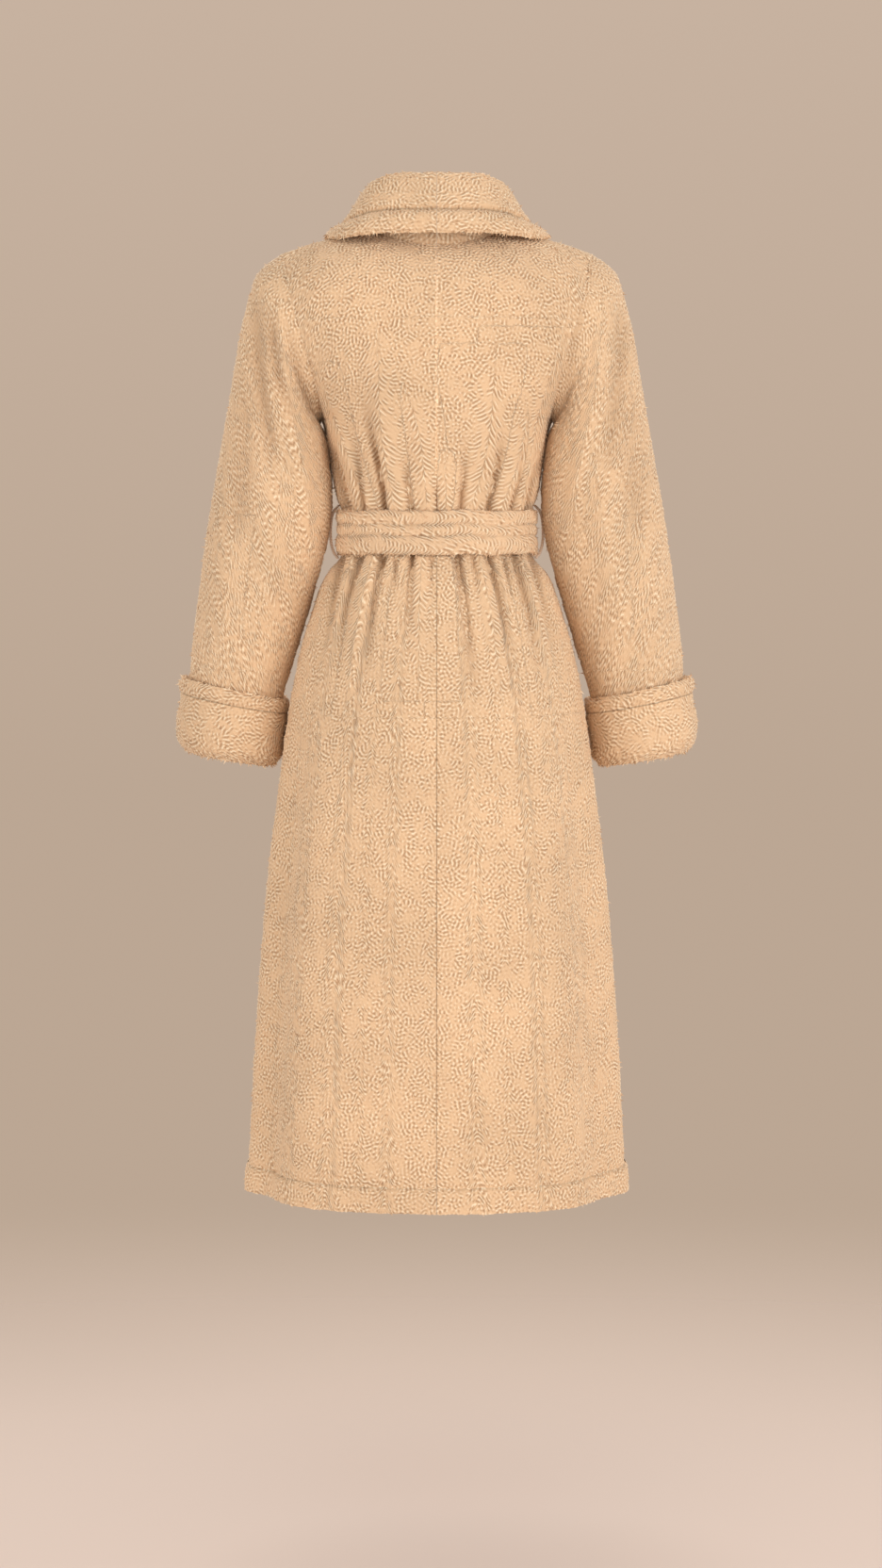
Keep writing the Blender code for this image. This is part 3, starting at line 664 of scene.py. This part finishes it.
def back_panel(side):
    gap = SEAM_GAP / 2 / (WIDTH[0][1] * math.pi / 2)
    def surface(u, v):
        across = mix(gap, 1, u)
        turn, drop = panel_place(across, panel_down(v), lambda drop: mix(
            inner_turn(drop), armhole_turn(drop), np.clip(across, 0, 1) ** 6))
        return body(side * turn, drop)
    return surface


# The herringbone's strands, from the line of their fold: at it, and how much more beside it.
NAP_SPREAD, NAP_OPENS = math.radians(34), math.radians(26)


def folds_nap(folds, mirror=1):
    """The nap's direction and strength near these folds, on the side's own cloth."""
    def comb(place, u, v):
        x, drop = place[:, 0], -place[:, 2]
        nap, strength = 0 * x, 0 * x
        for line, half, _, *combed in folds:
            if not combed:
                continue
            middle = through(line, np.clip(drop, line[0][0], line[-1][0]))
            slope = (line[-1][1] - line[0][1]) / (line[-1][0] - line[0][0])
            near = combed[0] * fold_fade(line, drop) ** 0.5 * bump((x - middle) / 1.6, half)
            here = near > strength
            spread = NAP_SPREAD + NAP_OPENS * np.minimum(abs(x - middle) / half, 1.5)
            nap = np.where(here, -np.sign(x - middle) * spread - math.atan(slope), nap)
            strength = np.maximum(strength, near)
        return nap * mirror, ease(strength * 1.3)
    return comb


def back_seams(place, u, v):
    """Metres from the centre seam or the hem's stitches, and how hard they pull: the
    centre seam stands up above the belt, and its stitches dot it below."""
    drop = -place[:, 2]
    centre, hem = abs(place[:, 0]), abs(drop - LENGTH + HEM_TURN - 0.001)
    sewn = np.where(drop < BELT_TOP, -0.85, 0.28 + 0.28 * np.sin(drop * math.tau / STITCH))
    return np.minimum(centre, hem), np.where(hem < centre, 1.0, sewn)


# Painted shade for the back: how far a trough of the gathers is painted darker, for the shade that
# falls in it.
def back_fold_shade(place, u, v):
    return np.clip(-back_fold(place[:, 0], -place[:, 2]) / 0.008, 0, 1)


SIDES = (("left", 1), ("right", -1))
for label, side in SIDES:
    piece = cloth(f"back_{label}_plush", back_panel(side), 24, 100, 6, CLOTH, side,
                  level=UPPER_SHARE, comb=folds_nap(BACK_FOLDS, side), seam=back_seams,
                  fold_shade=back_fold_shade, butted="u")
    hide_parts(f"back_{label}")


# ---- The fronts ----
# Two fronts in the same plush, cut from the same form.  The wearer's right one wraps
# over the left, each with its own turned-up hem, under the shawl collar's lapels.

def front_edge(down):
    """Share across the front at which its wrapped edge runs."""
    drop = np.where(down < 1, UNDERARM * down, UNDERARM + down - 1)
    return through(((0.0, NECK_SHARE), (0.1, 0.31), (0.2, 0.13), (0.28, -0.1),
                    (0.34, -OVERLAP), (0.5, -OVERLAP), (LENGTH, -OVERLAP)), drop)


def overlap_lift(across):
    """How far the upper front stands off the lower one."""
    return (CLOTH + 0.0016) * ease((OVERLAP + 0.34 - across) / 0.22)


def front_panel(side):
    def surface(u, v):
        down = panel_down(v)
        across = mix(front_edge(down), 1, u)
        turn, drop = panel_place(across, down)
        place = body(side * turn, drop, front=True)
        if side < 0:
            angle = np.radians(turn)
            outward = point(-np.sin(angle), -np.cos(angle), 0)
            place = place + overlap_lift(across)[..., None] * outward
        return place
    return surface


def front_seams(place, u, v):
    """Metres from the hem's row of stitches."""
    return abs(-place[:, 2] - LENGTH + HEM_TURN - 0.001), 0 * u + 1


for label, side in SIDES:
    piece = cloth(f"front_{label}_plush", front_panel(side), 24, 58, 5, CLOTH, -side,
                  level=UPPER_SHARE, seam=front_seams, tufts=1200)
    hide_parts(f"front_{label}")


# ---- The sleeves ----
# Long sleeves set into dropped armholes: each is a tube seamed under the arm, which
# hangs a little bent, with soft creases that run down from the armhole.

# The outer and inner lines (x, drop), half-depth, and centre in y.
SLEEVE = (((0.18, 0.019), (0.1385, 0.2155), 0.066, 0.0),
          ((0.198, 0.029), (0.1385, 0.218), 0.067, 0.0),
          ((0.2125, 0.0445), (0.1385, 0.221), 0.067, 0.0),
          ((0.2235, 0.078), (0.1337, 0.228), 0.067, 0.0),
          ((0.2335, 0.12), (0.1292, 0.24), 0.066, 0.0),
          ((0.243, 0.178), (0.127, 0.262), 0.064, 0.002),
          ((0.256, 0.25), (0.124, 0.298), 0.061, 0.003),
          ((0.27, 0.327), (0.1285, 0.35), 0.059, 0.0),
          ((0.283, 0.412), (0.1505, 0.432), 0.058, -0.008),
          ((0.2925, 0.48), (0.1715, 0.5), 0.056, -0.016),
          ((0.2955, 0.52), (0.185, 0.545), 0.054, -0.02),
          ((0.297, 0.59), (0.1945, 0.608), 0.052, -0.027))
ARMHOLE_GAP = -0.0006
SLEEVE_NAP = 0.6  # strength of the sleeves' herringbone beside the back's
# Creases of a sleeve, as the back's folds: (drop, x), half-width, height and nap.  The
# back of the sleeve has its own on each side, and the front has plain ones.
SLEEVE_CREASES = {
    1: ((((0.05, 0.213), (0.15, 0.208), (0.24, 0.196), (0.3, 0.19)), 0.009, -0.0068),
        (((0.07, 0.196), (0.16, 0.184), (0.21, 0.168), (0.262, 0.15)), 0.008, -0.0081),
        (((0.09, 0.178), (0.15, 0.164), (0.2, 0.15), (0.24, 0.143)), 0.007, -0.0068),
        (((0.08, 0.187), (0.2, 0.17), (0.3, 0.152), (0.36, 0.148)), 0.01, 0.0054, 1.0),
        (((0.14, 0.222), (0.26, 0.226), (0.38, 0.236)), 0.014, -0.0041),
        (((0.26, 0.178), (0.36, 0.192), (0.48, 0.214)), 0.015, 0.0043, 0.6),
        (((0.33, 0.236), (0.42, 0.25), (0.51, 0.262)), 0.013, 0.0038, 0.7)),
    -1: ((((0.05, 0.214), (0.15, 0.214), (0.24, 0.204), (0.3, 0.198)), 0.011, -0.0049),
         (((0.06, 0.17), (0.14, 0.158), (0.22, 0.147), (0.262, 0.143)), 0.007, -0.0054),
         (((0.07, 0.194), (0.18, 0.184), (0.26, 0.168), (0.34, 0.16)), 0.01, 0.0043, 0.8),
         (((0.16, 0.226), (0.28, 0.232), (0.38, 0.24)), 0.014, -0.0035),
         (((0.26, 0.184), (0.36, 0.198), (0.48, 0.22)), 0.015, 0.0038, 0.6),
         (((0.33, 0.24), (0.42, 0.252), (0.51, 0.262)), 0.013, 0.0032, 0.6))}


def tube_point(shape, side, u, at):
    """A point of a tube with these outer and inner lines; u runs round the back."""
    outer, inner, deep, middle = zip(*shape)
    number = range(len(shape))
    lines = [through(list(zip(number, column)), at)
             for pair in (outer, inner) for column in zip(*pair)]
    angle = math.tau * u
    across = np.cos(angle)
    x = mix(lines[2], lines[0], 0.5 + 0.5 * across)
    drop = mix(lines[3], lines[1], 0.5 + 0.5 * across)
    y, reach = (through(list(zip(number, column)), at) for column in (middle, deep))
    return point(side * x, y + reach * np.sin(angle), -drop)


def sleeve_at(v):
    """The sleeve's station at a share down it; the first ones lie close together."""
    return np.interp(v, np.array((0, 0.05, 0.11, 0.19, 0.31, 0.44, 0.58, 0.73, 0.83, 0.88, 1.0)),
                     np.array((0, 1.4, 2.8, 4, 5, 6, 7, 8, 9, 10, 11)))


def crease_height(creases, x, drop):
    out = 0 * x
    for line, half, height, *_ in creases:
        first, last = line[0][0], line[-1][0]
        share = (drop - first) / (last - first)
        fade = ease(share * 3) * ease((1 - share) * 3)
        middle = through(line, np.clip(drop, first, last))
        out = out + height * fade * bump(x - middle, half)
    return out


def armhole(side, u):
    drop = UNDERARM * (1 - np.cos(math.tau * u)) / 2
    turn, behind = side * armhole_turn(drop), (u % 1) <= 0.5
    return np.where(behind[..., None], body(turn, drop), body(turn, drop, True))


def sleeve(side):
    def surface(u, v):
        at = sleeve_at(v)
        place = tube_point(SLEEVE, side, u, at)
        round_arm = math.tau * u
        raised = crease_height(SLEEVE_CREASES[side], abs(place[..., 0]), -place[..., 2])
        raised = raised * ease(abs(np.sin(round_arm)) * 1.6) * ease((at - 1.0) / 1.5)
        outward = point(side * np.cos(round_arm) * 0.6, np.sin(round_arm), 0)
        place = place + outward * raised[..., None]
        seam = armhole(side, u) + np.array((side * ARMHOLE_GAP, 0, -ARMHOLE_GAP / 2))
        return mix(seam, place, ease(at / 2.2)[..., None])
    return surface


def sleeve_nap(side):
    combs = folds_nap([(tuple((d, side * x) for d, x in line), *rest)
                       for line, *rest in SLEEVE_CREASES[side]], side)
    def comb(place, u, v):
        nap, strength = combs(place, u, v)
        beside = ease(abs(np.sin(math.tau * u)) * 2)
        return nap * np.where(u < 0.5, -1, 1), SLEEVE_NAP * strength * beside
    return comb


# Painted shade for a sleeve: how far the troughs of its creases are painted darker, for the shade
# that falls in them.
def sleeve_fold_shade(side):
    def fold_shade(place, u, v):
        raised = crease_height(SLEEVE_CREASES[side], abs(place[:, 0]), -place[:, 2])
        return np.clip(-raised / 0.008, 0, 1) * ease(abs(np.sin(math.tau * u)) * 1.6)
    return fold_shade


for label, side in SIDES:
    piece = cloth(f"sleeve_{label}_plush", sleeve(side), 24, 42, 7, CLOTH, -side, tube=True,
                  comb=sleeve_nap(side), tufts=2200, fold_shade=sleeve_fold_shade(side))
    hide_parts(f"sleeve_{label}")


# ---- The cuffs ----
# Each cuff is a doubled band turned back over the sleeve's end, with one row of
# stitching a little below its soft upper edge.

BAND_CLOTH = 0.005
CUFF = (((0.305, 0.519), (0.1795, 0.546), 0.062, -0.02),
        ((0.3095, 0.527), (0.178, 0.554), 0.065, -0.021),
        ((0.308, 0.546), (0.1795, 0.57), 0.064, -0.023),
        ((0.3135, 0.572), (0.1835, 0.593), 0.066, -0.026),
        ((0.3115, 0.597), (0.186, 0.614), 0.064, -0.028),
        ((0.3, 0.61), (0.196, 0.627), 0.055, -0.03))
CUFF_SEAM = 0.33  # share down the cuff at which it is stitched


def cuff(side):
    def surface(u, v):
        return tube_point(CUFF, side, u, v * (len(CUFF) - 1))
    return surface


def cuff_seam(place, u, v):
    return abs(v - CUFF_SEAM) * 0.09, 0 * u + 1


def sweep_nap(angle, strength):
    """A nap that sweeps one way along the piece, waving a little."""
    def comb(place, u, v):
        return angle + 0.7 * np.sin(u * 31 + v * 7), 0 * u + strength
    return comb


for label, side in SIDES:
    piece = cloth(f"cuff_{label}_plush", cuff(side), 28, 6, 8, BAND_CLOTH, -side, tube=True,
                  comb=sweep_nap(1.1, 0.45), seam=cuff_seam,
                  tufts=lambda place, u, v: 5000 + 60000 * ((v > 0.97) | (v < 0.03)))
    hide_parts(f"cuff_{label}")


# ---- The shawl collar ----
# Two doubled halves seamed at the centre back.  The collar stands up round the neck,
# rolls over and falls to a soft band stitched along its edge, and runs on down the
# fronts as lapels.

COLLAR_TOP, COLLAR_SIDE = 0.068, 0.042
COLLAR_FALL = (0.128, 0.1)
COLLAR_LOW = -0.004
COLLAR_ENDS = {1: (0.228, 0.278), -1: (0.298, 0.292)}
LAPEL_STAND = 0.0068
BAND_WIDE = 0.18  # share of the collar's width that the stitched band takes


def front_place(side, across, down, out):
    """A point this far off the side's front, and the ways sideways and outward there."""
    def at(a, d):
        turn, drop = panel_place(a, np.maximum(d, 0.0))
        place = body(turn, drop, front=True, folded=False)
        if side < 0:
            place = place - overlap_lift(a)[..., None] * np.array((0, 1, 0))
        return place
    step, low = 1e-3, np.maximum(down, 0.02)
    sideways = at(across + step, down) - at(across - step, down)
    normal = unit(np.cross(at(across, low + step) - at(across, low - step), sideways))
    return at(across, down) + normal * np.asarray(out)[..., None], unit(sideways), normal


def collar_guides(side, along):
    """Five rows of points from the collar's seam over its roll to its outer edge; along
    runs 0 to 1 round the neck, and 1 to 2 down the front."""
    angle = np.clip(along, 0, 1) * math.pi / 2
    turn, drop = neckline(np.clip(along, 0, 1))
    sine, cosine = np.sin(angle), np.cos(angle)
    inward = point(-sine, -cosine, 0 * sine)
    seam = body(turn, drop, folded=False) + inward * 0.0078 + np.array((0, 0, -0.001))
    roll = point(0.0905 * sine, 0.07 * cosine, mix(COLLAR_SIDE, COLLAR_TOP, 1 - sine ** 6))
    dip = through(((0, 0), (0.35, -0.002), (0.65, -0.006), (0.85, -0.005), (1, -0.001)),
                  np.clip(along, 0, 1))
    edge = point(COLLAR_FALL[0] * sine, COLLAR_FALL[1] * cosine, COLLAR_LOW + 0.005 * sine + dip)
    stand = (seam + roll) / 2 + inward * 0.003
    fullness = mix(-0.004, 0.007, cosine ** 2)[..., None]
    fall = (roll + edge) / 2 - inward * fullness + np.array((0, 0, 0.003))
    back = (seam, stand, roll, fall, edge)
    share = np.clip(along - 1, 0, 1)
    seam_end, edge_end = COLLAR_ENDS[side]
    down = [np.where(share * end < UNDERARM, share * end / UNDERARM, 1 + share * end - UNDERARM)
            for end in (seam_end, edge_end)]
    settled = ease(share / 0.3)
    start = front_edge(down[0])
    reach = through(((0.0, 0.31), (0.3, 0.27), (0.6, 0.25), (0.85, 0.2), (1.0, 0.13)), share)
    place, sideways, normal = front_place(side, start, down[0], 0 * share)
    seam = place - sideways * mix(0.0078, 0.0112, settled)[..., None] - normal * 0.001
    roll = (place + sideways * mix(0.0125, -0.0055, settled)[..., None]
            + normal * mix(0.036, LAPEL_STAND + 0.0015, settled)[..., None])
    stand = (seam + roll) / 2 - sideways * mix(0.003, 0.0022, settled)[..., None]
    fall = front_place(side, start + reach * 0.5, mix(*down, 0.5),
                       mix(0.024, LAPEL_STAND + 0.001, settled))[0]
    edge = front_place(side, start + reach, down[1], 0 * share + LAPEL_STAND)[0]
    front = (seam, stand, roll, fall, edge)
    return [np.where((along <= 1)[..., None], a, b) for a, b in zip(back, front)]


def collar(side):
    def surface(u, v):
        along = np.interp(v, (0, 0.36, 1), (0, 1, 2))
        points = collar_guides(side, along)
        quarters = [i / 4 for i in range(5)]
        shares = [through([(q, float(q == at)) for q in quarters], u) for at in quarters]
        place = sum(share[..., None] * guide for share, guide in zip(shares, points))
        band = through(((0, 0), (1 - BAND_WIDE - 0.03, 0.0), (1 - BAND_WIDE, -0.0024),
                        (1 - BAND_WIDE + 0.03, 0.0026), (1 - BAND_WIDE / 2, 0.0058),
                        (0.97, 0.004), (1.0, 0.0005)), u)
        back_only = ease((1.9 - along) / 0.5)
        out = unit(place * np.array((1, 1, 0))) * (band * back_only)[..., None]
        place = place + out
        place[..., 0] = place[..., 0] * side + np.where(along < 0.5, side * SEAM_GAP / 2, 0)
        return place
    return surface


def collar_seams(place, u, v):
    band, centre = abs(u - 1 + BAND_WIDE) * 0.12, abs(place[:, 0]) + (v > 0.3)
    return np.minimum(band, centre), np.where(band < centre, 0.9, 0.05) * (v < 0.97)


for label, side in SIDES:
    piece = cloth(f"collar_{label}_plush", collar(side), 12, 30, 7, BAND_CLOTH, -side,
                  comb=sweep_nap(0.9, 0.4), seam=collar_seams, butted="v",
                  tufts=lambda place, u, v: 5000 + 60000 * ((u > 0.97) | (abs(u - 0.5) < 0.03)))
    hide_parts(f"collar_{label}")


# ---- The belt ----
# A stuffed band in a slightly paler plush, sewn along its length into three soft rolls,
# of which the lowest is the fullest.  It is tied in front with one knot and two ends.

BELT_GAP = 0.0026
BELT_PLUSH = plush("belt_plush", (0.5, 0.3, 0.168), (0.735, 0.5, 0.308), (0.9, 0.72, 0.51))
BELT_RELIEF = pile_relief(BELT_PLUSH)
BELT_SEAMS, BELT_FULL = (0.33, 0.57), (1.0, 0.86, 1.22)


def belt_skin(turn):
    """Where the belt's inner face runs: clear of the fronts, wrapped or single."""
    front = abs(turn) > 90
    angle = np.copysign(np.where(front, 180 - abs(turn), abs(turn)), turn)
    drop = 0 * turn + BELT_TOP + BELT_WIDE / 2
    behind, before = body(angle, drop, folded=False), body(angle, drop, True, folded=False)
    past_edge = ease((OVERLAP + 0.17 - angle / 90) / 0.14)
    before[..., 1] -= overlap_lift(-angle / 90) * past_edge
    return np.where(front[..., None], before, behind)


def rolls(share, full=(1.0, 1.0, 1.0)):
    """How far each of the belt's three rolls stands out at a share across its width."""
    seams, puff = (0.0, *BELT_SEAMS, 1.0), 0 * share
    for a, b, fullness in zip(seams, seams[1:], full):
        inside = np.clip((share - a) / (b - a), 0, 1)
        puff = np.maximum(puff, fullness * np.sqrt(np.maximum(1 - (2 * inside - 1) ** 2, 0)))
    return puff


def belt(u, v):
    place = belt_skin((u % 1) * 360 - 180)
    outward = unit(place * np.array((1 / 0.0136, 1 / 0.0089, 0)))
    wave = 0.0007 * np.sin(u * 45) + 0.0005 * np.sin(u * 83 + 2)
    rolled = 0.72 + 0.28 * np.sin(u * 17 + v * 3) * np.sin(u * 41 + 1)
    puff = rolls(v, BELT_FULL)
    puff = np.where((v < 0.1) | (v > 0.9), puff, mix(0.95, puff, rolled))
    place = place + outward * (BELT_GAP + BELT_THICK * mix(0.4, 0.88, puff))[..., None]
    place[..., 2] = -BELT_TOP - BELT_WIDE * v + wave
    return place


def belt_seam(place, u, v):
    apart = np.minimum(abs(v - BELT_SEAMS[0]), abs(v - BELT_SEAMS[1])) * BELT_WIDE
    return apart, 0.24 + 0.14 * np.sin(u * 23 + v * 5)


piece = cloth("belt_plush", belt, 60, 7, 7, BELT_THICK * 0.45, 1, tube=True,
              comb=sweep_nap(0.5, 0.75), seam=belt_seam, finish=BELT_PLUSH, relief=BELT_RELIEF,
              tufts=lambda place, u, v: 5000 + 70000 * ((v > 0.95) | (v < 0.05)))
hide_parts("belt")

belt_front = float(belt(np.zeros(1), np.full(1, 0.8))[0, 1])
KNOT = (0.031, 0.0165, 0.034)
knot_middle = np.array((0.004, belt_front - KNOT[1] + 0.003, -BELT_TOP - BELT_WIDE / 2))


def knot(u, v):
    """The knot: a soft block that one fold of the belt crosses from corner to corner."""
    around, up = math.tau * u, np.pi * (mix(0.02, 0.98, v) - 0.5)
    sphere = point(np.cos(around) * np.cos(up), np.sin(around) * np.cos(up), np.sin(up))
    block = np.sign(sphere) * abs(sphere) ** 0.75
    groove = bump(sphere[..., 0] + 0.8 * sphere[..., 2] - 0.55, 0.16)
    groove = groove + bump(sphere[..., 0] + 0.8 * sphere[..., 2] + 0.45, 0.16)
    sunk = 1 - 0.16 * groove * (sphere[..., 1] < 0)
    return knot_middle + block * np.array(KNOT) * sunk[..., None]


piece = cloth("belt_knot_plush", knot, 10, 6, 5, 0.006, 1, tube=True,
              comb=sweep_nap(0.5, 0.6), finish=BELT_PLUSH, relief=BELT_RELIEF, tufts=6000)
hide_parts("belt_knot")

BELT_ENDS = {1: (0.0155, 0.052, 0.76), -1: (-0.0155, -0.048, 0.715)}
BELT_END_WIDE = 0.048


def belt_end(side):
    top_x, low_x, low = BELT_ENDS[side]
    top = BELT_TOP + BELT_WIDE / 2 + KNOT[2] + 0.001

    def surface(u, v):
        drop = mix(top, low, v)
        middle = mix(top_x, low_x, np.maximum(v, 0.0) ** 0.7)
        x = middle + (u - 0.5) * BELT_END_WIDE * mix(0.55, 1.0, ease(v * 2.5))
        turn = np.degrees(np.arcsin(x / through(WIDTH, drop)))
        skirt = body(turn, drop, front=True)
        stand = overlap_lift(np.zeros(1)) + BELT_THICK + 0.0025
        y = np.minimum(skirt[..., 1] - stand, knot_middle[1] + 0.006 - 0.004 * v)
        return point(x, y - 0.0024 * (rolls(u) - 0.6), -drop)
    return surface


def end_seam(place, u, v):
    apart = np.minimum(abs(u - BELT_SEAMS[0]), abs(u - BELT_SEAMS[1])) * BELT_END_WIDE
    return apart, 0 * u + 0.8


for label, side in SIDES:
    piece = cloth(f"belt_end_{label}_plush", belt_end(side), 5, 40, 5, BELT_THICK * 0.8, -1,
                  comb=sweep_nap(0.6, 0.5), seam=end_seam, finish=BELT_PLUSH, relief=BELT_RELIEF,
                  tufts=lambda place, u, v: 4000 + 60000 * (v > 0.98))
    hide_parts(f"belt_end_{label}")


# ---- The belt loops ----
# A thin chain of thread at each side seam, bowed round the belt: two strands laid round
# each other on the loop's own line.

LOOP_LINE = ((0.1165, -0.315), (0.1222, -0.3215), (0.1252, -0.331), (0.1264, -0.345),
             (0.1258, -0.359), (0.1228, -0.3705), (0.118, -0.3775))
LOOP_RADIUS, LOOP_TWISTS, LOOP_STEPS = 0.0009, 12, 150

thread = bpy.data.materials.new("loop_thread")
thread.use_nodes = True
tree = thread.node_tree
shader = tree.nodes["Principled BSDF"]
grain = node(tree, "ShaderNodeTexNoise", Vector=node(tree, "ShaderNodeTexCoord").outputs["Object"],
             Scale=1500.0, Detail=2.0)
link(tree, ramp(tree, grain, ((0.3, (0.8, 0.6, 0.45)), (0.7, (0.92, 0.74, 0.58)))),
     shader.inputs["Base Color"])
strands = node(tree, "ShaderNodeBump", Strength=0.5, Distance=0.0003, Height=grain)
link(tree, strands, shader.inputs["Normal"])
shader.inputs["Roughness"].default_value = 0.75

for label, side in SIDES:
    curve = bpy.data.curves.new(f"belt_loop_{label}_thread", "CURVE")
    curve.dimensions, curve.use_fill_caps = "3D", True
    curve.bevel_depth, curve.bevel_resolution = LOOP_RADIUS * 1.1, 2
    steps = np.linspace(0, 1, LOOP_STEPS)
    places = list(enumerate(LOOP_LINE))
    x, z = (through([(i / 6, line[axis]) for i, line in places], steps) for axis in (0, 1))
    for strand in (0, math.pi):
        twist = steps * LOOP_TWISTS * math.tau + strand
        spline = curve.splines.new("POLY")
        spline.points.add(LOOP_STEPS - 1)
        flat = np.stack([side * (x + LOOP_RADIUS * np.cos(twist)), LOOP_RADIUS * np.sin(twist),
                         z, 0 * z + 1], 1)
        spline.points.foreach_set("co", flat.ravel())
    curve.materials.append(thread)
    loop = bpy.data.objects.new(f"belt_loop_{label}_thread", curve)
    bpy.context.collection.objects.link(loop)
    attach(loop, "root")
    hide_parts(f"belt_loop_{label}")
